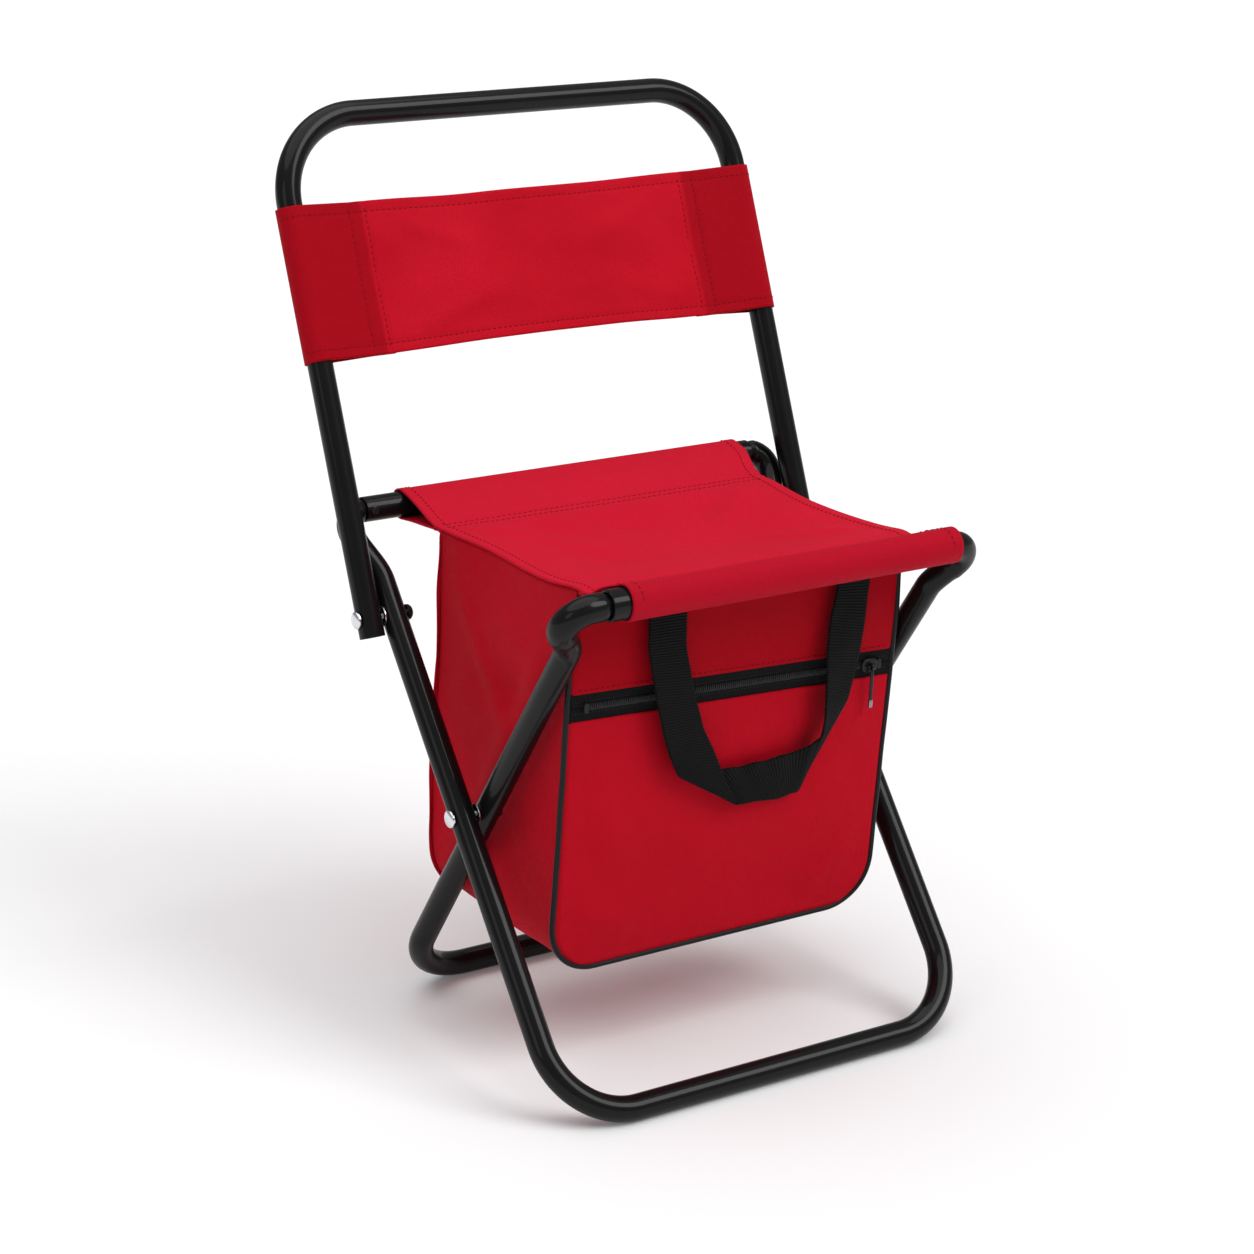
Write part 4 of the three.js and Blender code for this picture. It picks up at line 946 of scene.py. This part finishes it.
def panelPush(x, z):
    # How far the front panel stands out: a low cushion below the zip, a lower one above it, and creases.
    zipZ = zipLine(x)
    below = np.clip((z - bag["bottom"]) / (zipZ - 9 - bag["bottom"]), 0, 1)
    above = np.clip((z - zipZ - 9) / (bag["flatTop"] + 8 - zipZ - 9), 0, 1)
    middle = np.clip(1 - (x / bag["half"]) ** 2, 0, 1) ** 0.7
    puff = bag["bulge"] * middle * np.sin(np.pi * below ** 0.9) + 1.2 * middle * np.sin(np.pi * above)
    inside = smooth((bag["half"] - np.abs(x)) / 25) * smooth(below / 0.12) * smooth((1 - below) / 0.15)
    creases = folds(x, z, ((-114, 226), (-70, 120), 12, 1.3), ((-60, 84), (-112, 120), 9, 1.2),
                    ((60, 84), (110, 128), 9, 1.2), ((112, 222), (60, 150), 13, 1.0))
    return puff + (creases + 0.9 * ripple(x, z, 23, 70)) * inside


def tuckIn(x, y, z):
    # How far the bag's top corner is drawn in, so that it stays under the seat's edge.
    left, right = seatEdge(y)
    edge = np.where(np.asarray(x) < 0, -left, right)
    return np.sign(x) * np.maximum(0, np.abs(x) - edge + 2.6) * smooth((z - bag["flatTop"] + 42) / 44)


def riseOver(z):
    # How far up a height lies between the bottom corners and the flat top: 0 to 1.
    corner = bag["bottom"] + bag["radius"]
    return (z - corner) / (bag["flatTop"] - corner)


def rearSpread(z):
    # The bag's rear lower corners belly outwards.
    return 3.2 * smooth((z - 74) / 45) * smooth((235 - z) / 75)


def panelPoint(x, z, depth):
    # A point on the front panel at a depth behind its face.
    x = x - tuckIn(x, bag["frontTop"], z)
    return joined(x, panelFace(z) + depth - panelPush(x, z), z)


def outline(grow):
    # The panel's edge from the top left round the bottom to the top right, grown outwards.
    half, radius, low = bag["half"] + grow, bag["radius"] + grow, bag["bottom"] - grow
    corners = [(-half, bag["flatTop"]), (-half, low), (half, low), (half, bag["flatTop"])]
    return roundedPath(corners, [radius, radius], 2.5)


def halfWidthAt(z, grow):
    # The outline's half width at a height: the straight side, or the corner's arc below it.
    radius, low = bag["radius"] + grow, bag["bottom"] - grow
    down = np.clip(low + radius - z, 0, radius)
    return bag["half"] + grow - radius + np.sqrt(radius ** 2 - down ** 2)


def rowHeights(grow, steps, top, count):
    # Heights of a panel's rows: close together up the bottom corners' arc, then even up to the top.
    low, radius = bag["bottom"] - grow, bag["radius"] + grow
    arc = low + radius * (1 - np.cos(np.linspace(0, np.pi / 2, steps)))
    return np.r_[arc, np.linspace(low + radius, top, count)[1:]]


def edgeShares(count):
    # Places across a panel from -1 to 1, close together near both edges.
    return np.sin(np.linspace(-1, 1, count) * np.pi / 2)


def clothSheet(name, points, uv, finish, node, body, flip=1, blendTo=None):
    # One layer of the bag's cloth, as thick as the bag's cloth.
    piece = clothLayer(name, points, finish, uv, bag["cloth"], None if blendTo else body, flip=flip)
    if blendTo:
        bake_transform(piece)
    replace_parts(piece, node)


def frontStitches(name, line, thread, **style):
    # A row of stitches on the bag's front.
    outward = np.broadcast_to(np.array([0, -1.0, 0]), line.shape)
    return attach(stitches(name, line, outward, thread, **style), "bag_front")


def turnedUnder(inside):
    # How far a panel's rim sinks into its seam, within 4 mm of its edge.
    return 1.1 * smooth((4 - inside) / 4)


def frontLowerPanel():
    # Rows follow the bottom corners' arcs, then straighten until they run along the zip.
    low, radius, grow = bag["bottom"], bag["radius"], bag["overlap"]
    top = zipBand["middle"] - zipBand["height"] / 2
    z, u = grid(rowHeights(grow, 26, top, 90), edgeShares(160))
    x = u * halfWidthAt(z, grow)
    z = z + (zipLine(x) - zipBand["middle"]) * smooth((z - low - radius) / (top - low - radius))
    rim = np.minimum(halfWidthAt(z, grow) - np.abs(x), z - low + grow)
    points = panelPoint(x, z, bag["cloth"] / 2 + turnedUnder(rim))
    clothSheet("bagFrontLower", points, joined(x, z), redCloth, "bag_front_lower", "bag_front",
               flip=-1)


def frontUpperPanel():
    # From the zip's upper edge to the seat's underside.
    u, v = grid(np.linspace(-1, 1, 150), np.linspace(0, 1, 60))
    half = bag["half"] + bag["overlap"]
    x = u * half
    low = zipLine(x) + zipBand["height"] / 2
    z = mix(low, underSeat(x, bag["frontTop"] + 0.5) - 0.9, v)
    line = np.linspace(-bag["half"] + 2, bag["half"] - 2, 300)
    seam = panelPoint(line, zipLine(line) + zipBand["height"] / 2 + 2.4, 0)
    rows = [frontStitches("bag.zipSeam", seam, redThread)]
    points = panelPoint(x, z, bag["cloth"] / 2 + turnedUnder(half - np.abs(x)))
    clothSheet("bagFrontUpper", points, joined(x, z), shadedUpperRed, "bag_front_upper", "bag_front")


def frontPiping():
    # A round vinyl edging: a circle swept along the panel's edge, up to the seat on both sides.
    edge = outline(bag["pipingOffset"])
    up = unit(np.array([0, -bag["slope"], 1]))
    top = underSeat(bag["half"], bag["frontTop"]) - bag["piping"] - 2.2
    z = edge[:, 1] + np.maximum(0, riseOver(edge[:, 1])) * (top - bag["flatTop"])
    x = edge[:, 0] - tuckIn(edge[:, 0], bag["frontTop"], z)
    path = joined(x, panelFace(z) + bag["pipingDepth"], z)
    last = len(path) - 1
    stations = np.r_[0, 0, np.arange(0, last + 1), last, last]
    radii = bag["piping"] * np.r_[0, 0.85, np.ones(last + 1), 0.85, 0]
    path = path + 0.35 * ripple(edge[:, :1], edge[:, 1:], 31, 40) * np.array([1, 0, 0])
    rings = sweepRings(path, np.cross(across, up), stations, radii[:, None], 16)
    ringShell("frontPiping", rings, pipingVinyl, "bag_front", "bag_front_piping", sharp=60)


def gussetPoints(edge, normal, share):
    # The bag's side and bottom: its outline carried from the front panel to the back one.
    x0, z0 = edge[..., 0], edge[..., 1]
    lift = np.maximum(riseOver(z0), 0)

    def depthAt(height):
        return mix(panelFace(height) + 2.6, bag["back"] - 0.2, share)
    z = z0 + lift * (underSeat(x0, depthAt(z0)) - 0.4 - bag["flatTop"])
    y = depthAt(z)
    side = np.sign(x0)
    tuck = tuckIn(x0, y, z) - side * rearSpread(z) * share ** 4 * (np.abs(normal[..., 0]) > 0.02)
    middle = np.sin(np.pi * share) ** 0.8
    seed = np.where(side < 0, 0.0, 400.0)
    crease = folds(y, z, ((-100, 300), (0, 130), 11, 3.6), ((30, 300), (-50, 190), 10, 3.0),
                   ((-98, 170), (-10, 96), 10, 3.0), ((34, 150), (-40, 90), 9, 3.2),
                   ((-80, 240), (20, 220), 14, -2.4))
    sink = -3.2 * np.sin(np.pi * np.clip(lift, 0, 1)) + crease + 1.6 * ripple(y + seed, z, 41, 85)
    belly = 1.2 * smooth(1 - lift * 4) * ripple(x0, y, 43, 90)
    push = (sink * smooth(lift * 3) + belly) * middle
    x = x0 + normal[..., 0] * push - tuck
    return joined(x, y, z + normal[..., 1] * push)


def gusset():
    # The grid's first direction runs round the outline, its second from front to back.
    edge = outline(bag["pipingOffset"] - bag["cloth"] / 2)
    share = np.linspace(0, 1, 70) + 0 * edge[:, :1]
    points = gussetPoints(edge[:, None], squareTo(edge)[:, None], share)
    uv = joined(points[..., 1], lengthsAlong(edge)[:, None])
    clothSheet("bagGusset", points, uv, redCloth, "bag_gusset", "bag_back", blendTo="bag_front")


def backPanel():
    # A flat panel with the bag's outline, drawn up to the seat and slightly slack.
    grow = 0.2
    z, u = grid(rowHeights(grow, 24, bag["flatTop"], 90), edgeShares(130))
    x = u * (halfWidthAt(z, grow) + rearSpread(z))
    x = x - tuckIn(x, bag["rearTop"], z)
    z = z + np.clip(riseOver(z), 0, 1) * (underSeat(x, bag["rearTop"]) - 0.5 - bag["flatTop"])
    rims = (bag["half"] - np.abs(x), z - bag["bottom"], 312 - z)
    inside = math.prod(smooth(rim / 30) for rim in rims)
    creases = folds(x, z, ((-110, 300), (-30, 180), 13, 1.6), ((110, 296), (40, 170), 13, 1.5),
                    ((-100, 90), (-20, 150), 12, 1.2))
    slack = (2.2 + 1.5 * ripple(x, z, 53, 90) + creases) * inside
    points = joined(x, bag["back"] + 1.2 + slack, z)
    clothSheet("bagBack", points, joined(x, z), redCloth, "bag_back_panel", "bag_back")


def backFlange():
    # The raw seam allowance that stands out round the back panel, a little wavy at its rim.
    edge = outline(0.6)
    normal = squareTo(edge)
    x0, z0, around = edge[:, :1], edge[:, 1:], lengthsAlong(edge)[:, None]
    out = np.linspace(0, 1, 8)
    reach = bag["flange"] * out * (1 - 0.45 * smooth((z0 - 296) / 10))
    x = x0 + normal[:, :1] * reach + np.sign(x0) * rearSpread(z0)
    x = x - tuckIn(x, bag["rearTop"], z0)
    y = bag["back"] + 1.0 + 0.9 * ripple(around + 0 * reach, 20 * reach, 61, 45) * out
    drawnUp = np.maximum(riseOver(z0), 0) * (underSeat(x0, bag["rearTop"]) - 1.2 - bag["flatTop"])
    points = joined(x, y, z0 + normal[:, 1:] * reach + drawnUp)
    clothLayer("bagSeamFlange", points, redCloth, joined(reach, around), 1.0, "bag_back")


def liner():
    # An open tub: rounded rectangles at each height, drawn in at the bag's corners and closed below.
    count, soft = 96, 0.125
    heights = rowHeights(-bag["linerInset"], 12, bag["linerTop"], 40)[:, None]
    half = halfWidthAt(heights, -bag["linerInset"]) - 9
    front, back = panelFace(heights) + 4.2, bag["back"] - 0.3
    angle = anglesRound(count) + np.pi / 4
    square = joined(np.cos(angle), np.sin(angle))
    square = square / np.abs(square).max(-1, keepdims=True)
    ring = square * (1 - soft + soft / np.hypot(*square.T) ** 2)[:, None]
    rings = joined(half * ring[:, 0], (front + back) / 2 + (back - front) / 2 * ring[:, 1], heights)
    floorRings = [rings[0] * [share, 1, 1] for share in (0.001, 0.25, 0.5, 0.75)]
    rings = np.concatenate([floorRings, rings])
    piece = makePiece("bagLiner", rings, gridFaces(len(rings), count, wrapColumns=True), foil)
    thicken(piece, bag["linerThickness"], -1.0)
    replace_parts(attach(piece, "bag_back"), "bag_liner")
    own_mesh(piece)


frontLowerPanel()
frontUpperPanel()
frontPiping()
gusset()
backPanel()
backFlange()
liner()
print("bag made")


# The zip

def zipTape(side, word, node):
    # A woven strip beside the coil: a grid along the zip's line and away from it.
    half = bag["half"]
    u, v = grid(np.linspace(-half - 0.5, half + 0.5, 240), np.linspace(0.15, 9.3, 14))
    z = zipLine(u) + side * v
    points = joined(u, panelFace(z) + zipBand["tapeDepth"] + 0.12 * ripple(u, v, 71, 24), z)
    clothLayer("zipTape." + word, points, zipCloth, joined(u, side * v), zipBand["tapeThickness"],
               "bag_front", node, flip=side)
    row = np.linspace(-half + 1, half - 1, 300)
    line = joined(row, panelFace(zipLine(row)) + 0.7, zipLine(row) + side * 3.6)
    frontStitches("zipTape.stitch." + word, line, greyThread, length=1.5, gap=0.9, thick=0.17)


def coil():
    # A flattened helix: z and depth turn with the angle while x goes along.
    turns = 2 * zipBand["coilHalf"] / zipBand["coilPitch"]
    angle = np.linspace(0, 2 * np.pi * turns, int(turns * 12))
    x = np.linspace(-zipBand["coilHalf"], zipBand["coilHalf"], len(angle))
    z = zipLine(x) + zipBand["coilHeight"] * np.cos(angle)
    path = joined(x, panelFace(z) + 0.22 + zipBand["coilDepth"] * np.sin(angle), z)
    run = unit(np.gradient(path, axis=0))
    side = unit(np.cross(run, across))
    radius = np.full((len(x), 1, 1), zipBand["wire"])
    radius[[0, -1]] = 0
    rings = path[:, None] + radius * circles(side, np.cross(run, side), 5)
    ringShell("zipCoil", rings, coilNylonWithGlints, "bag_front", "zip_coil")


def tablet(name, centre, width, height, layers, finish, body, node=None, power=4.0, sides=48, tilt=0.0):
    # A flat stud: a rounded rectangle |x|^p + |z|^p = 1 drawn at each layer's depth and inset, with both
    # ends closed.
    c, s = np.cos(anglesRound(sides)), np.sin(anglesRound(sides))
    reach = (np.abs(c) ** power + np.abs(s) ** power) ** (-1 / power)
    depth, inset = np.asarray(layers, float).T
    x = c * reach * (width / 2 - inset[:, None])
    z = s * reach * (height / 2 - inset[:, None])
    rings = joined(x, depth[:, None], z - x * tilt)
    caps = [np.broadcast_to(rings[i].mean(0), rings[i].shape)[None] for i in (0, -1)]
    rings = np.concatenate([caps[0], rings, caps[1]]) + np.asarray(centre)
    ringShell(name, rings, finish, body, node, sharp=45)


def studLayers(back, front, edge):
    # A stud's side with its front edge rounded off in four steps.
    turn = np.linspace(0, np.pi / 2, 5)
    return [(back, 0)] + [(front + edge * (1 - math.sin(t)), edge * (1 - math.cos(t))) for t in turn]


def zipFittings():
    # Stops at the coil's ends, then the slider with its bridge.
    for side, word in sides:
        x = side * (zipBand["coilHalf"] - zipBand["stopLength"] / 2)
        centre = (x, panelFace(zipLine(x)), zipLine(x))
        tablet("zipStop." + word, centre, zipBand["stopLength"], zipBand["stopHeight"],
               studLayers(0.9, -1.9, 0.5), blackMetal, "bag_front", "zip_stop_" + word, 5,
               tilt=zipBand["fall"])
    x = zipBand["sliderX"]
    z = zipLine(x)
    y = panelFace(z)
    tablet("zipSlider", (x, y, z), zipBand["sliderLength"], zipBand["sliderHeight"],
           studLayers(-0.95, -2.5, 0.6), blackMetal, "zip_slider", "zip_slider", 3.2, 64, zipBand["fall"])
    half, wire = zipBand["bridgeHalf"], zipBand["bridgeWire"]
    top = zipBand["bridgeRise"] - wire
    flat = roundedPath([(-half, 0.6), (-half, top), (half, top), (half, 0.6)], [1.1, 1.1], 0.3)
    path = joined(x + flat[:, 0], y - 2.3 - flat[:, 1], z)
    rings = sweepRings(path, np.array([0, 0, 1.0]), np.arange(len(path)), np.full((len(path), 1), wire), 12)
    ringShell("zipSlider.bridge", rings, blackMetal, "zip_slider")


def zipPull():
    # An eye round the bridge, a flat shank below it and a thicker bright tip.
    x = zipBand["sliderX"]
    z = zipLine(x)
    y = panelFace(z) - 2.4 - zipBand["bridgeRise"] + zipBand["bridgeWire"]
    a, b = grid(anglesRound(36), anglesRound(14))
    radius = zipBand["eye"] + zipBand["eyeWire"] * np.cos(b)
    eye = joined(x + zipBand["eyeHalf"] * np.sin(b), y + radius * np.cos(a), z + radius * np.sin(a))
    ringShell("zipPull", eye, blackMetal, "zip_pull", "zip_pull", wrapRows=True)
    long = zipBand["pullLength"] - 4
    layers = [(0.45, 0.3), (0.3, 0.05), (0, 0), (-0.3, 0.05), (-0.45, 0.3)]
    tablet("zipPull.shank", (x, y, z - zipBand["eye"] - long / 2), zipBand["pullWidth"] - 0.4, long,
           layers, blackMetal, "zip_pull", power=6)
    layers = [(0.9, 0.5), (0.7, 0.1), (0, 0), (-0.7, 0.1), (-0.9, 0.5)]
    tablet("zipPull.tip", (x, y, z - zipBand["pullLength"] + 2.6), zipBand["pullWidth"], 5.2, layers,
           nickel, "zip_pull", power=5)


zipTape(-1, "lower", "zip_tape_lower")
zipTape(1, "upper", "zip_tape_upper")
coil()
zipFittings()
zipPull()
print("zip made")


# The carry handle

strap = {
    "fromPanel": 9.0, "width": 25, "thickness": 1.4, "fold": 312.1, "endHeight": 5.6,
    # the webbing's two edges, left leg first: x and z of each, and how far each stands before the panel
    "edges": ((-74, 303, -48, 303, 9, 9), (-73, 279, -46, 277, 9.3, 9), (-66, 250, -38, 247, 10, 9.5),
              (-58, 221, -29, 221, 10.6, 10), (-52, 206, -20, 204, 11, 10.6), (-45, 192, 1, 164, 10.2, 10.2),
              (-26, 190, 6, 163, 8.2, 8.2), (-3, 189, 14, 163, 8.0, 8.4), (22, 190, 34, 161, 9.6, 8.0),
              (37, 191, 43, 163, 9.6, 8.2), (53, 194, 49, 163, 11, 8), (60, 201, 56, 177, 14, 8),
              (60, 213, 66, 194, 15, 8), (61, 229, 81, 220, 12, 8.4), (60, 254, 86, 250, 10, 9),
              (61, 276, 87, 270, 9.2, 9.4), (64, 303, 88, 302, 9, 9)),
}


def strapGrid():
    # Straight lines between the two edges; the inner edge bunches a little where the webbing turns.
    table = np.array(strap["edges"], float)
    first, last = table[0].copy(), table[-1].copy()
    first[[1, 3]] = last[[1, 3]] = strap["fold"]
    table = np.vstack([first, table, last])
    leftX, leftZ, rightX, rightZ, leftOut, rightOut = table.T
    left = joined(leftX, panelFace(leftZ) - leftOut, leftZ)
    right = joined(rightX, panelFace(rightZ) - rightOut, rightZ)
    place = lengthsAlong((left + right) / 2)
    fine = np.linspace(0, place[-1], 380)
    weights = np.hanning(11) / np.hanning(11).sum()

    def ease(edge):
        return averaged(np.pad(pick(fine, place, edge), ((5, 5), (0, 0)), mode="edge"), weights)
    along, share = grid(fine, np.linspace(0, 1, 22))
    points = mix(ease(left)[:, None], ease(right)[:, None], share[..., None])
    bunch = bell(along - place[8], 26) + bell(along - place[11], 22)
    wave = bunch * (1 - share) ** 2 * np.sin(along / 2.6)
    uv = joined(along, strap["width"] * share)
    points[..., 1] -= 0.9 * wave + 0.3 * ripple(*uv.transpose(2, 0, 1), 83, 30)
    points[..., 2] += 0.8 * wave
    return points, uv


def carryHandle():
    # The hanging loop of webbing: the grid between its two edges.
    points, uv = strapGrid()
    clothLayer("carryHandle", points, webbing, uv, strap["thickness"], "carry_handle", "carry_handle")


def handleEnds():
    # The sewn ends slope back from the loop to the panel under the seat.
    for x, half, word in ((-61, 13, "left"), (76, 12, "right")):
        u, v = grid(np.linspace(-half, half, 22), np.linspace(0, 1, 12))
        z = strap["fold"] + 0.4 + v * strap["endHeight"]
        points = joined(x + u, panelFace(z) - mix(strap["fromPanel"], 0.9, smooth(v)), z)
        clothLayer("handleEnd." + word, points, webbing, joined(z, u), strap["thickness"], "bag_front",
                   "handle_end_" + word)


carryHandle()
handleEnds()
print("handle made")
